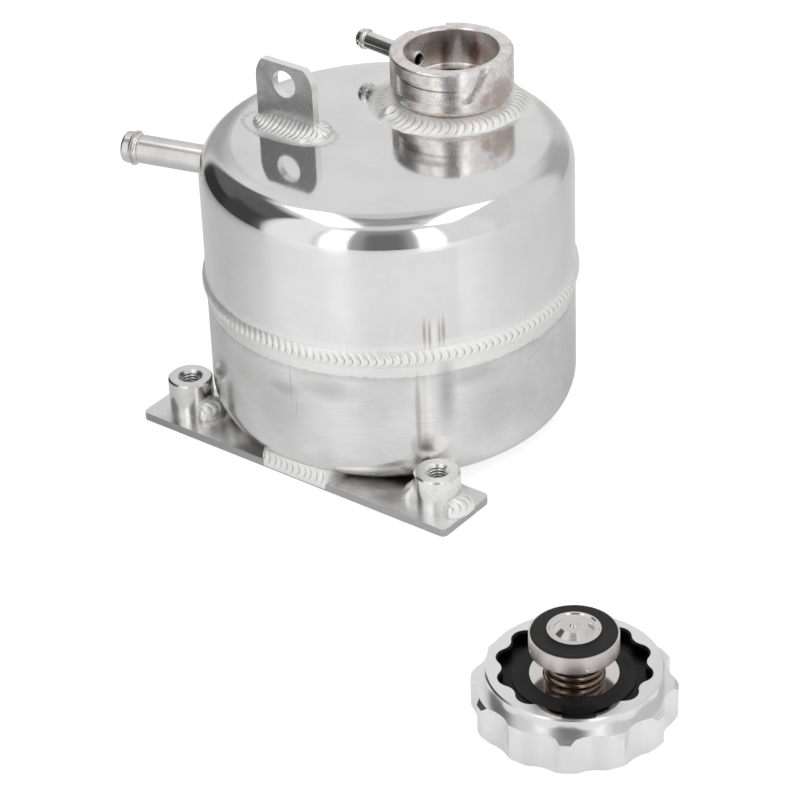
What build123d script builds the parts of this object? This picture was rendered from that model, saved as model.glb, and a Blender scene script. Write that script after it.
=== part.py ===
from build123d import *
import math
import os

# Welded aluminium coolant tank on a base plate, with its pressure cap lying upside down beside it.
# Millimetres. The origin is the centre of the base plate's underside, +X runs along the plate
# and the tank stands behind it, towards +Y.

# Tank shell: two drawn cups joined by one seam round the middle
TANK_RADIUS = 65.0
TANK_HEIGHT = 104.2
WALL = 2.0
SHOULDER_RADIUS = 12.0
FOOT_RADIUS = 13.0
SEAM_HEIGHT = 52.6
SEAM_WIDTH = 6.4
SEAM_STAND = 1.5
SEAM_GROOVE = 3.6
SEAM_ROOT = 1.2

# Base plate and its threaded bosses
PLATE_WIDTH = 26.2
PLATE_THICKNESS = 3.0
PLATE_CORNER = 2.0
PLATE_FRONT_SETBACK = 3.2
PLATE_WELD_RADIUS = 4.6
PLATE_WELD_LENGTH = 30.0
PLATE_WELD_X = 4.1
PLATE_REAR_WELD_LEG = 2.6
WELD_END_ROUND = 0.6
BOSS_TO_TANK = 0.312
BOSS_TO_PLATE_END = 12.3
BOSS_RADIUS = 8.0
BOSS_HEIGHT = 12.6
BOSS_THREAD_RADIUS = 3.4
BOSS_THREAD_CHAMFER = 1.1
BOSS_EDGE_CHAMFER = 0.6
BOSS_WELD_LEG = 2.6
BOSS_WELD_ARC = 70.0

# Mounting tab on the tank's top
TAB_X = -31.5
TAB_FRONT_Y = 33.7
TAB_WIDTH = 24.8
TAB_THICKNESS = 3.0
TAB_HEIGHT = 23.7
TAB_HOLE_HEIGHT = 16.3
TAB_HOLE_RADIUS = 5.0
TAB_LEFT_CUT = 2.9
TAB_RIGHT_CUT = 3.8
TAB_CUT_DROP = 7.5
TAB_WELD_REACH = 6.5
TAB_WELD_RISE = 3.6
TAB_WELD_START = 1.5
TAB_WELD_RUN_ON = 5.0

# Filler neck
NECK_X = 4.5
NECK_BEHIND_TANK_AXIS = 33.1
NECK_HEIGHT = 19.8
NECK_RADIUS = 21.6
NECK_BORE_RADIUS = 16.5
NECK_FOOT_RADIUS = 19.6
NECK_FOOT_HEIGHT = 3.0
NECK_TAPER_HEIGHT = 2.4
NECK_SPIGOT_RADIUS = 18.0
NECK_SPIGOT_LENGTH = 5.0
NECK_RIM_ROUND = 0.7
NECK_WELD_RADIUS = 27.0
NECK_WELD_STAND = 0.9
NECK_WELD_DROP = 4.0
SEAT_DEPTH = 13.8
SEAT_BORE_RADIUS = 11.2
SEAT_LIP_WIDTH = 1.3
SEAT_LIP_HEIGHT = 0.7
SEAT_CORNER_ROUND = 0.9
FLANGE_THICKNESS = 4.4
GROOVE_DEPTH = 2.3
GROOVE_FLOOR_HEIGHT = 8.2
GROOVE_ARC = 93.0
NOTCH_ARC = 42.5
NOTCH_START = -48.7
NOTCH_LANDING = 1.4
NOTCH_OVERLAP = 5.3

# Hose barbs: angles are about the axis that each one points away from
SIDE_BARB_ANGLE = 193.9
SIDE_BARB_HEIGHT = 81.7
SIDE_BARB_REACH = 36.9
SIDE_BARB_RADIUS = 5.2
SIDE_BARB_BORE = 3.3
SIDE_BARB_BEAD = 1.15
OUTLET_ANGLE = 120.0
OUTLET_HEIGHT = 22.0
OUTLET_REACH = 32.0
OUTLET_RADIUS = 9.5
OUTLET_BORE = 7.7
OUTLET_BEAD = 1.2
OVERFLOW_ANGLE = 173.3
OVERFLOW_HEIGHT = 10.8
OVERFLOW_REACH = 22.4
OVERFLOW_RADIUS = 3.1
OVERFLOW_BORE = 2.1
OVERFLOW_BEAD = 0.8
OVERFLOW_END_GAP = 0.4
BARB_BEAD_SETBACK = 0.82
BARB_BEAD_RISE = 2.1
BARB_BEAD_FALL = 0.8
BARB_NOSE = 0.45
BARB_MOUTH_ROUND = 0.22
BARB_INSIDE = 2.0
BARB_WELD_LEG = 3.0
COLLAR_DEPTH = 2.0
COLLAR_TOE = 0.25
BRAZE_LEG = 1.4

# Pressure cap: it lies on its outer face, so its heights run from that face towards the valve
CAP_X = 156.2
CAP_Y = -66.4
KNOB_RADIUS = 32.1
KNOB_SKIRT_HEIGHT = 13.2
KNOB_RING_RADIUS = 27.7
KNOB_RING_HEIGHT = 4.9
KNOB_RING_CHAMFER = 0.5
KNOB_FACE_CHAMFER = 1.8
KNOB_LOBE_CHAMFER = 1.3
KNOB_FACE = 4.0
KNOB_LOBES = 12
KNOB_LOBE_ANGLE = -0.7
FLUTE_RADIUS = 11.2
FLUTE_DEPTH = 2.9
POCKET_RADIUS = 24.6
SCALLOP_RADIUS = 4.7
LUG_ANGLE = -52.2
LUG_POCKET_RADIUS = 24.0
LUG_DISH_CENTRE = 12.5
LUG_DISH_RADIUS = 14.3
LUG_DISH_SLOPE = 0.27
INSERT_CLEARANCE = 0.1
INSERT_STEP_HEIGHT = 14.4
INSERT_RIM_DROP = 0.9
INSERT_RIM = 0.4
INSERT_SEAT_HEIGHT = 13.4
INSERT_WELL_RADIUS = 11.0
INSERT_WELL_HEIGHT = 8.2
WELL_CLEARANCE = 0.7
RIVET_WEB = 2.6
RIVET_RECESS_RADIUS = 6.9
NECK_CLEARANCE = 0.3
GASKET_RADIUS = 19.4
GASKET_THICKNESS = 1.4
GASKET_BORE = 12.2
LUG_WIDTH = 10.3
LUG_THICKNESS = 1.6
LUG_CLEARANCE = 0.2
LUG_TIP_CLEARANCE = 0.6
PLATE_SHEET = 0.6
SPRING_PLATE_RADIUS = 13.85
SPRING_WIRE = 1.6
SPRING_RADIUS = 8.7
SPRING_TURNS = 6.4
SPRING_END_GAP = 0.05
GUIDE_RADIUS = 4.2
GUIDE_WALL = 0.6
GUIDE_LIP = 2.0

# Pressure valve and vacuum valve
CUP_RADIUS = 14.0
CUP_FLOOR_HEIGHT = 24.6
CUP_HEIGHT = 6.1
CUP_WALL = 0.5
CUP_SHOULDER = 0.5
CUP_EDGE_ROUND = 0.4
CUP_DIMPLE_RADIUS = 0.8
CUP_DIMPLE_DEPTH = 0.3
CUP_DIMPLES = 4
CUP_DIMPLE_ANGLE = -38.1
CARRIER_HEIGHT = 3.6
CARRIER_THICKNESS = 0.6
CARRIER_VENT_RADIUS = 1.2
CARRIER_VENT_CIRCLE = 4.2
CARRIER_VENTS = 4
SEAL_THICKNESS = 2.4
SEAL_BORE = 6.2
SEAL_ROUND = 0.5
VALVE_FIT = 0.05
GUIDE_RUNNING_GAP = 0.4
DISC_RADIUS = 8.4
DISC_SHEET = 0.6
DOME_FOOT_RADIUS = 6.3
DOME_TOP_RADIUS = 4.3
DOME_HEIGHT = 1.6
DISC_RIM_HEIGHT = 0.35
STEM_RADIUS = 1.2
STEM_HEAD_RADIUS = 1.6
STEM_HEAD_HEIGHT = 0.6
STEM_HEAD_TAPER = 0.6
WASHER_RADIUS = 2.8
WASHER_THICKNESS = 0.5
VACUUM_SPRING_GAP = 1.5
VACUUM_SPRING_WIRE = 0.3
VACUUM_SPRING_RADIUS = 2.2
VACUUM_SPRING_TURNS = 2.0

# Places that follow from the sizes above
TANK_AXIS_Y = TANK_RADIUS - PLATE_FRONT_SETBACK - PLATE_WIDTH / 2
BOSS_X = math.sqrt((TANK_RADIUS + BOSS_TO_TANK + BOSS_RADIUS) ** 2 - TANK_AXIS_Y ** 2)
PLATE_LENGTH = 2 * (BOSS_X + BOSS_TO_PLATE_END)
TANK_TOP = PLATE_THICKNESS + TANK_HEIGHT
SEAM_Z = PLATE_THICKNESS + SEAM_HEIGHT
NECK_Y = TANK_AXIS_Y + NECK_BEHIND_TANK_AXIS
GROOVE_FLOOR_RADIUS = NECK_RADIUS - GROOVE_DEPTH
KNOB_TOP = KNOB_SKIRT_HEIGHT + KNOB_RING_HEIGHT
GASKET_FACE = INSERT_SEAT_HEIGHT + GASKET_THICKNESS
INSERT_GUIDE_RADIUS = NECK_RADIUS + NECK_CLEARANCE
LUG_UNDERSIDE = GASKET_FACE + FLANGE_THICKNESS + LUG_CLEARANCE
LUG_TIP_RADIUS = GROOVE_FLOOR_RADIUS + LUG_TIP_CLEARANCE
WELL_FLOOR = INSERT_WELL_HEIGHT + PLATE_SHEET
CARRIER_UNDERSIDE = CUP_FLOOR_HEIGHT + CARRIER_HEIGHT
CARRIER_TOP = CARRIER_UNDERSIDE + CARRIER_THICKNESS
SEAL_TOP = CARRIER_TOP + SEAL_THICKNESS
GUIDE_BORE_RADIUS = GUIDE_RADIUS - GUIDE_WALL
WASHER_TOP = CARRIER_UNDERSIDE - VACUUM_SPRING_GAP

CUT = 1.0
AT_TANK = Pos(0, TANK_AXIS_Y, PLATE_THICKNESS)
AT_NECK = Pos(NECK_X, NECK_Y, TANK_TOP)
AT_CAP = Pos(CAP_X, CAP_Y, 0)


def turned(*points):
    """Solid turned about Z from a closed outline of (radius, height) points."""
    return revolve(Plane.XZ * make_face(Polyline(*points, close=True)), Axis.Z)


def sector(inner, outer, low, high, start, arc):
    """Ring segment about Z, from the angle start, through arc degrees."""
    outline = Pos(inner, low) * Rectangle(outer - inner, high - low, align=(Align.MIN, Align.MIN))
    return Rot(0, 0, start) * revolve(Plane.XZ * outline, Axis.Z, revolution_arc=arc)


def disc(radius, low, high):
    """Cylinder on Z between two heights."""
    return Pos(0, 0, low) * Cylinder(radius, high - low, align=(Align.CENTER, Align.CENTER, Align.MIN))


def ring(inner, outer, low, high):
    """Round ring on Z between two heights."""
    return disc(outer, low, high) - disc(inner, low - CUT, high + CUT)


def coil(radius, wire, turns, low, high):
    """Open coil spring on Z whose wire lies between two heights."""
    rise = high - low - wire
    path = Helix(rise / turns, rise, radius)
    section = Plane(origin=path @ 0, z_dir=path % 0) * Circle(wire / 2)
    return Pos(0, 0, low + wire / 2) * sweep(section, path=path)


# Tank shell

def tank_form(inset):
    """Tank's outside form, inset by a wall."""
    outline = Rectangle(TANK_RADIUS - inset, TANK_HEIGHT - 2 * inset, align=(Align.MIN, Align.MIN))
    foot = outline.vertices().group_by(Axis.Y)[0].sort_by(Axis.X)[-1]
    outline = fillet(foot, FOOT_RADIUS - inset)
    shoulder = outline.vertices().group_by(Axis.Y)[-1].sort_by(Axis.X)[-1]
    outline = fillet(shoulder, SHOULDER_RADIUS - inset)
    return AT_TANK * (Pos(0, 0, inset) * revolve(Plane.XZ * outline, Axis.Z))


def girth_weld():
    """Seam bead: a V through the wall under a crown that stands out of it."""
    inner = TANK_RADIUS - WALL
    root = Line((inner, -SEAM_ROOT / 2), (inner, SEAM_ROOT / 2))
    upper = Polyline(root @ 1, (TANK_RADIUS, SEAM_GROOVE / 2), (TANK_RADIUS, SEAM_WIDTH / 2))
    crown = ThreePointArc(upper @ 1, (TANK_RADIUS + SEAM_STAND, 0), (TANK_RADIUS, -SEAM_WIDTH / 2))
    lower = Polyline(crown @ 1, (TANK_RADIUS, -SEAM_GROOVE / 2), root @ 0)
    outline = make_face(root + upper + crown + lower)
    return Pos(0, TANK_AXIS_Y, SEAM_Z) * revolve(Plane.XZ * outline, Axis.Z)


def tank_half(upper):
    """One drawn cup: the shell on one side of the seam, bevelled for the weld."""
    shell = tank_form(0) - tank_form(WALL)
    reach = 2 * TANK_HEIGHT
    side = Align.MIN if upper else Align.MAX
    keep = Pos(0, TANK_AXIS_Y, SEAM_Z) * Box(reach, reach, reach, align=(Align.CENTER, Align.CENTER, side))
    return (shell & keep) - girth_weld()


def upper_shell():
    """Upper cup with the neck's hole and the side inlet's hole."""
    shell = tank_half(True) - AT_NECK * disc(NECK_SPIGOT_RADIUS, -WALL - CUT, CUT)
    return shell - side_barb_axis() * disc(SIDE_BARB_RADIUS, -TANK_RADIUS / 2, CUT)


def lower_shell():
    """Lower cup with the outlet's hole."""
    return tank_half(False) - outlet_axis() * disc(OUTLET_RADIUS, -TANK_RADIUS / 2, CUT)


# Filler neck, in its own frame with Z = 0 on the tank's top

def neck_blank():
    """Turned neck before its cam grooves: spigot, foot, collar, bore and seat."""
    seat = NECK_HEIGHT - SEAT_DEPTH
    lip = SEAT_BORE_RADIUS + SEAT_LIP_WIDTH
    taper_top = NECK_FOOT_HEIGHT + NECK_TAPER_HEIGHT
    blank = turned(
        (SEAT_BORE_RADIUS, -NECK_SPIGOT_LENGTH),
        (NECK_SPIGOT_RADIUS, -NECK_SPIGOT_LENGTH),
        (NECK_SPIGOT_RADIUS, 0),
        (NECK_FOOT_RADIUS, 0),
        (NECK_FOOT_RADIUS, NECK_FOOT_HEIGHT),
        (NECK_RADIUS, taper_top),
        (NECK_RADIUS, NECK_HEIGHT),
        (NECK_BORE_RADIUS, NECK_HEIGHT),
        (NECK_BORE_RADIUS, seat),
        (lip, seat),
        (lip, seat + SEAT_LIP_HEIGHT),
        (SEAT_BORE_RADIUS, seat + SEAT_LIP_HEIGHT),
    )
    circles = blank.edges().filter_by(GeomType.CIRCLE)
    corner = [edge for edge in circles.filter_by_position(Axis.Z, seat, seat)
              if abs(edge.radius - NECK_BORE_RADIUS) < WALL / 10]
    blank = fillet(corner, SEAT_CORNER_ROUND)
    rim = blank.edges().filter_by(GeomType.CIRCLE).group_by(Axis.Z)[-1]
    return fillet(rim, NECK_RIM_ROUND)


def cam_cut(start):
    """Way in for one lug: an S-shaped ramp through the rim, then the groove under the flange."""
    flange_underside = NECK_HEIGHT - FLANGE_THICKNESS
    half = NECK_RADIUS * math.sin(math.radians(NOTCH_ARC / 2))
    over = NECK_HEIGHT + CUT
    foot = (-half + NOTCH_LANDING, GROOVE_FLOOR_HEIGHT)
    ramp = Spline(foot, (half, NECK_HEIGHT), tangents=((1, 0), (1, 0)))
    floor = Line((-half, GROOVE_FLOOR_HEIGHT), ramp @ 0)
    rest = Polyline(ramp @ 1, (half, over), (-half, over), floor @ 0)
    middle = math.radians(start + NOTCH_ARC / 2)
    outwards = (math.cos(middle), math.sin(middle), 0)
    along = (-math.sin(middle), math.cos(middle), 0)
    face = Plane(origin=(0, 0, 0), x_dir=along, z_dir=outwards) * make_face(floor + ramp + rest)
    notch = extrude(face, NECK_RADIUS + CUT) - disc(GROOVE_FLOOR_RADIUS, 0, NECK_HEIGHT + 2 * CUT)
    outer = NECK_RADIUS + CUT
    groove = sector(GROOVE_FLOOR_RADIUS, outer, GROOVE_FLOOR_HEIGHT, flange_underside,
                    start - GROOVE_ARC, GROOVE_ARC + NOTCH_OVERLAP)
    return notch + groove


def filler_neck():
    """Neck with two cam grooves opposite each other and the overflow tube's hole."""
    neck = neck_blank()
    for start in (NOTCH_START, NOTCH_START + 180):
        neck -= cam_cut(start)
    return AT_NECK * neck - overflow_axis() * disc(OVERFLOW_RADIUS, -NECK_RADIUS, CUT)


def neck_weld():
    """Wide bead between the neck's foot and the tank's top, which follows the shoulder down at the back."""
    run = Polyline((NECK_FOOT_RADIUS, NECK_FOOT_HEIGHT), (NECK_FOOT_RADIUS, -NECK_WELD_DROP),
                   (NECK_WELD_RADIUS, -NECK_WELD_DROP), (NECK_WELD_RADIUS, 0))
    middle = (NECK_FOOT_RADIUS + NECK_WELD_RADIUS) / 2 + NECK_WELD_STAND
    crown = ThreePointArc(run @ 1, (middle, NECK_FOOT_HEIGHT / 2 + NECK_WELD_STAND), run @ 0)
    return AT_NECK * revolve(Plane.XZ * make_face(run + crown), Axis.Z) - tank_form(0)


# Hose barbs: each is made on Z, with Z = 0 at the wall that it leaves

def pointing(angle, distance):
    """Place whose Z points level and outwards, at a distance from the Z axis."""
    turn = math.radians(angle)
    outwards = (math.cos(turn), math.sin(turn), 0)
    origin = (distance * outwards[0], distance * outwards[1], 0)
    return Plane(origin=origin, x_dir=(0, 0, 1), z_dir=outwards).location


def side_barb_axis():
    """Place of the side inlet at the tank's wall."""
    return AT_TANK * Pos(0, 0, SIDE_BARB_HEIGHT) * pointing(SIDE_BARB_ANGLE, TANK_RADIUS)


def outlet_axis():
    """Place of the outlet at the tank's wall."""
    return AT_TANK * Pos(0, 0, OUTLET_HEIGHT) * pointing(OUTLET_ANGLE, TANK_RADIUS)


def overflow_axis():
    """Place of the overflow tube at the neck's outside."""
    return AT_NECK * Pos(0, 0, OVERFLOW_HEIGHT) * pointing(OVERFLOW_ANGLE, NECK_RADIUS)


def hose_barb(radius, bore, bead, reach, inside):
    """Tube from inside the wall to its reach, with a rolled bead and a nose a little wider than the tube."""
    nose = radius + bead * BARB_NOSE
    edge = radius * BARB_MOUTH_ROUND
    crest = reach - radius * BARB_BEAD_SETBACK
    start, end = crest - bead * BARB_BEAD_RISE, crest + bead * BARB_BEAD_FALL
    tube = Polyline((bore, reach), (bore, -inside), (radius, -inside), (radius, start))
    rise = TangentArc((radius + bead, crest), (radius, start), tangent=(-1, 0))
    fall = TangentArc((radius + bead, crest), (nose, end), tangent=(0, 1))
    mouth = Line((nose, end), (nose, reach - edge))
    lip = TangentArc((nose, reach - edge), (nose - edge, reach), tangent=(0, 1))
    face = Line((nose - edge, reach), (bore, reach))
    return revolve(Plane.XZ * make_face(tube + rise + fall + mouth + lip + face), Axis.Z)


def weld_collar(radius, leg):
    """Cone of weld metal round a tube, deep enough to reach the curved wall behind it."""
    outer = radius + leg
    low = -COLLAR_DEPTH * leg
    return turned((radius, low), (outer, low), (outer, -COLLAR_TOE * leg), (radius, leg))


def side_inlet_barb():
    """Barb high on the tank's wall."""
    return side_barb_axis() * hose_barb(
        SIDE_BARB_RADIUS, SIDE_BARB_BORE, SIDE_BARB_BEAD, SIDE_BARB_REACH, WALL + BARB_INSIDE)


def side_inlet_weld():
    """Bead round the side inlet."""
    return side_barb_axis() * weld_collar(SIDE_BARB_RADIUS, BARB_WELD_LEG) - tank_form(0)


def outlet_barb():
    """Large barb low on the tank's far side."""
    return outlet_axis() * hose_barb(
        OUTLET_RADIUS, OUTLET_BORE, OUTLET_BEAD, OUTLET_REACH, WALL + BARB_INSIDE)


def outlet_weld():
    """Bead round the outlet."""
    return outlet_axis() * weld_collar(OUTLET_RADIUS, BARB_WELD_LEG) - tank_form(0)


def overflow_barb():
    """Small barb through the neck's wall, its end just short of the bore."""
    inside = NECK_RADIUS - NECK_BORE_RADIUS - OVERFLOW_END_GAP
    return overflow_axis() * hose_barb(OVERFLOW_RADIUS, OVERFLOW_BORE, OVERFLOW_BEAD, OVERFLOW_REACH, inside)


def overflow_barb_braze():
    """Braze metal round the overflow tube at the neck."""
    collar = overflow_axis() * weld_collar(OVERFLOW_RADIUS, BRAZE_LEG)
    return collar - AT_NECK * disc(NECK_RADIUS, -CUT, NECK_HEIGHT + CUT)


# Base plate, bosses and their welds

def boss_places():
    """Left and right boss positions on the plate's top."""
    return [Pos(side * BOSS_X, 0, PLATE_THICKNESS) for side in (-1, 1)]


def base_plate():
    """Flat bar with both boss holes drilled through."""
    plate = Box(PLATE_LENGTH, PLATE_WIDTH, PLATE_THICKNESS, align=(Align.CENTER, Align.CENTER, Align.MIN))
    plate = fillet(plate.edges().filter_by(Axis.Z), PLATE_CORNER)
    for place in boss_places():
        plate -= place * disc(BOSS_THREAD_RADIUS, -PLATE_THICKNESS - CUT, CUT)
    return plate


def boss(place):
    """Threaded boss with a countersunk mouth."""
    body = disc(BOSS_RADIUS, 0, BOSS_HEIGHT)
    body = chamfer(body.edges().group_by(Axis.Z)[-1], BOSS_EDGE_CHAMFER)
    body -= disc(BOSS_THREAD_RADIUS, -CUT, BOSS_HEIGHT + CUT)
    mouth = body.edges().filter_by(GeomType.CIRCLE).group_by(Axis.Z)[-1].sort_by(SortBy.RADIUS)[0]
    return place * chamfer(mouth, BOSS_THREAD_CHAMFER)


def boss_weld(place, sides):
    """Short fillet beads at a boss's foot, centred on the given angles."""
    outline = make_face(Polyline((BOSS_RADIUS, 0), (BOSS_RADIUS + BOSS_WELD_LEG, 0),
                                 (BOSS_RADIUS, BOSS_WELD_LEG), close=True))
    bead = revolve(Plane.XZ * outline, Axis.Z, revolution_arc=BOSS_WELD_ARC)
    beads = [place * Rot(0, 0, angle - BOSS_WELD_ARC / 2) * bead - tank_form(0) for angle in sides]
    return beads[0] if len(beads) == 1 else Compound(children=beads)


def weld_bar(radius, length):
    """Round bar of weld metal along X with rounded ends."""
    bar = Rot(0, 90, 0) * Cylinder(radius, length)
    return fillet(bar.edges().filter_by(GeomType.CIRCLE), radius * WELD_END_ROUND)


def base_plate_front_weld():
    """Bead that fills the corner between the plate's front edge and the tank's foot radius."""
    bar = weld_bar(PLATE_WELD_RADIUS, PLATE_WELD_LENGTH)
    bar &= Box(PLATE_LENGTH, PLATE_WIDTH, TANK_HEIGHT, align=(Align.CENTER, Align.CENTER, Align.MIN))
    place = Pos(PLATE_WELD_X, PLATE_WELD_RADIUS - PLATE_WIDTH / 2, PLATE_THICKNESS)
    return place * bar - tank_form(0)


def base_plate_rear_weld():
    """Bead under the tank's foot along the plate's rear edge."""
    bar = weld_bar(PLATE_REAR_WELD_LEG, PLATE_WELD_LENGTH)
    bar &= Box(PLATE_LENGTH, PLATE_WIDTH, PLATE_WIDTH, align=(Align.CENTER, Align.MIN, Align.MAX))
    return Pos(PLATE_WELD_X, PLATE_WIDTH / 2, PLATE_THICKNESS) * bar


# Mounting tab

def tab_outline():
    """Tab seen from the front, its foot on Y = 0, each top corner cut by an arc that starts on the side."""
    side = TAB_WIDTH / 2
    arc_foot = TAB_HEIGHT - TAB_CUT_DROP
    feet = Polyline((-side, arc_foot), (-side, 0), (side, 0), (side, arc_foot))
    right = TangentArc((side, arc_foot), (side - TAB_RIGHT_CUT, TAB_HEIGHT), tangent=(0, 1))
    top = Line((side - TAB_RIGHT_CUT, TAB_HEIGHT), (TAB_LEFT_CUT - side, TAB_HEIGHT))
    left = TangentArc((-side, arc_foot), (TAB_LEFT_CUT - side, TAB_HEIGHT), tangent=(0, 1))
    return make_face(feet + right + top + left) - Pos(0, TAB_HOLE_HEIGHT) * Circle(TAB_HOLE_RADIUS)


def mounting_tab():
    """Upright tab with one bolt hole."""
    front = Plane(origin=(TAB_X, TAB_FRONT_Y, TANK_TOP), x_dir=(1, 0, 0), z_dir=(0, -1, 0))
    return extrude(front * tab_outline(), -TAB_THICKNESS)


def tab_bead():
    """Whole bead round the tab's foot, half an ellipse in section, that runs on past the tab's right end."""
    half = TAB_THICKNESS / 2 + TAB_WELD_REACH
    left = TAB_X - TAB_WIDTH / 2 - TAB_WELD_START + half
    right = TAB_X + TAB_WIDTH / 2 + TAB_WELD_RUN_ON - half
    oval = Ellipse(half, TAB_WELD_RISE)
    run = extrude(Plane.YZ * (oval & Rectangle(2 * half, TAB_WELD_RISE, align=(Align.CENTER, Align.MIN))),
                  right - left)
    quarter = oval & Rectangle(half, TAB_WELD_RISE, align=(Align.MIN, Align.MIN))
    end = revolve(Plane.XZ * quarter, Axis.Z)
    return Pos(left, TAB_FRONT_Y + TAB_THICKNESS / 2, TANK_TOP) * (end + run + Pos(right - left, 0, 0) * end)


def tab_weld(front):
    """Half of the tab's bead, on one side of its middle plane."""
    reach = 2 * TAB_WIDTH
    align = (Align.CENTER, Align.MAX if front else Align.MIN, Align.CENTER)
    half_space = Pos(TAB_X, TAB_FRONT_Y + TAB_THICKNESS / 2, TANK_TOP) * Box(reach, reach, reach, align=align)
    return (tab_bead() & half_space) - mounting_tab()


# Pressure cap

def polar(radius, angle):
    """Point at a radius and an angle in degrees."""
    return radius * math.cos(math.radians(angle)), radius * math.sin(math.radians(angle))


def pocket_outline(offset):
    """Outline of the cap's pocket: twelve round lobes with round bumps between them, plain at each lug."""
    half = 180 / KNOB_LOBES
    lobe = POCKET_RADIUS - SCALLOP_RADIUS
    along, aside = polar(lobe, half)
    bump = along + math.sqrt((2 * SCALLOP_RADIUS) ** 2 - aside ** 2)
    share = (SCALLOP_RADIUS - offset) / (2 * SCALLOP_RADIUS)
    bump_x, bump_y = polar(bump, half)
    join_x, join_y = lobe + (bump_x - lobe) * share, bump_y * share
    join, spread = math.hypot(join_x, join_y), math.degrees(math.atan2(join_y, join_x))
    arcs = []
    for index in range(KNOB_LOBES):
        middle = LUG_ANGLE + half * (2 * index + 1)
        arcs.append(ThreePointArc(polar(join, middle - spread), polar(POCKET_RADIUS - offset, middle),
                                  polar(join, middle + spread)))
        arcs.append(ThreePointArc(polar(join, middle + spread),
                                  polar(bump - SCALLOP_RADIUS - offset, middle + half),
                                  polar(join, middle + 2 * half - spread)))
    outline = make_face(Wire(arcs))
    reach = 2 * POCKET_RADIUS
    wedge = make_face(Polyline((0, 0), polar(reach, -half), polar(reach, half), close=True))
    plain = Circle(LUG_POCKET_RADIUS - offset) & wedge
    for turn in (0, 180):
        outline += Rot(0, 0, LUG_ANGLE + turn) * plain
    return outline


def pocket_form(offset, low, high):
    """Pocket of the knob, or the insert that fills it, between two heights."""
    return Pos(0, 0, low) * extrude(pocket_outline(offset), high - low, dir=(0, 0, 1))


def cap_knob():
    """Knob: fluted skirt under a plain ring, with the scalloped pocket for the insert."""
    knob = turned((0, 0), (KNOB_RADIUS - KNOB_FACE_CHAMFER, 0), (KNOB_RADIUS, KNOB_FACE_CHAMFER),
                  (KNOB_RADIUS, KNOB_SKIRT_HEIGHT - KNOB_LOBE_CHAMFER),
                  (KNOB_RADIUS - KNOB_LOBE_CHAMFER, KNOB_SKIRT_HEIGHT), (KNOB_RING_RADIUS, KNOB_SKIRT_HEIGHT),
                  (KNOB_RING_RADIUS, KNOB_TOP - KNOB_RING_CHAMFER),
                  (KNOB_RING_RADIUS - KNOB_RING_CHAMFER, KNOB_TOP), (0, KNOB_TOP))
    flute_centre = KNOB_RADIUS - FLUTE_DEPTH + FLUTE_RADIUS
    step = 360 / KNOB_LOBES
    for index in range(KNOB_LOBES):
        turn = Rot(0, 0, KNOB_LOBE_ANGLE + step * (index + 0.5))
        knob -= turn * Pos(flute_centre, 0, 0) * disc(FLUTE_RADIUS, -CUT, KNOB_SKIRT_HEIGHT + CUT)
    knob -= pocket_form(0, KNOB_FACE, KNOB_TOP + CUT)
    for turn in (0, 180):
        knob -= Rot(0, 0, LUG_ANGLE + turn) * lug_dish()
    return AT_CAP * knob


def lug_dish():
    """Shallow cone cut into the ring's top round one lug."""
    cone = turned((0, KNOB_TOP - LUG_DISH_RADIUS * LUG_DISH_SLOPE), (LUG_DISH_RADIUS, KNOB_TOP),
                  (LUG_DISH_RADIUS, KNOB_TOP + CUT), (0, KNOB_TOP + CUT))
    return Pos(LUG_DISH_CENTRE, 0, 0) * cone


def bayonet_lug():
    """One lug: an upright in the pocket's arc with an inward ear that hooks under the neck's flange."""
    outer = LUG_POCKET_RADIUS - INSERT_CLEARANCE
    top = LUG_UNDERSIDE + LUG_THICKNESS
    upright = ring(INSERT_GUIDE_RADIUS, outer, INSERT_STEP_HEIGHT, top)
    ear = ring(LUG_TIP_RADIUS, outer, LUG_UNDERSIDE, top)
    block = Box(2 * outer, LUG_WIDTH, 2 * top, align=(Align.MIN, Align.CENTER, Align.MIN))
    return (upright + ear) & block


def cap_insert():
    """Moulded insert: tray with a thin scalloped rim, gasket seat, spring well, rivet hole and two lugs."""
    body = pocket_form(INSERT_CLEARANCE, KNOB_FACE, KNOB_TOP - INSERT_RIM_DROP)
    body -= pocket_form(INSERT_CLEARANCE + INSERT_RIM, INSERT_STEP_HEIGHT, KNOB_TOP)
    body -= disc(GASKET_RADIUS, INSERT_SEAT_HEIGHT, KNOB_TOP)
    body -= disc(INSERT_WELL_RADIUS, INSERT_WELL_HEIGHT, KNOB_TOP)
    body -= disc(RIVET_RECESS_RADIUS, KNOB_FACE - CUT, INSERT_WELL_HEIGHT - RIVET_WEB)
    body -= disc(GUIDE_RADIUS, KNOB_FACE, KNOB_TOP)
    for turn in (0, 180):
        body += Rot(0, 0, LUG_ANGLE + turn) * bayonet_lug()
    return AT_CAP * body


def neck_gasket():
    """Flat gasket that seals on the neck's rim."""
    return AT_CAP * ring(GASKET_BORE, GASKET_RADIUS, INSERT_SEAT_HEIGHT, GASKET_FACE)


def spring_plate():
    """Pressed plate: a flange that clamps the gasket and a well that carries the spring."""
    well = INSERT_WELL_RADIUS - WELL_CLEARANCE
    top = GASKET_FACE + PLATE_SHEET
    return AT_CAP * turned((GUIDE_RADIUS, INSERT_WELL_HEIGHT), (well, INSERT_WELL_HEIGHT),
                           (well, GASKET_FACE), (SPRING_PLATE_RADIUS, GASKET_FACE),
                           (SPRING_PLATE_RADIUS, top),
                           (well - PLATE_SHEET, top), (well - PLATE_SHEET, WELL_FLOOR),
                           (GUIDE_RADIUS, WELL_FLOOR))


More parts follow.
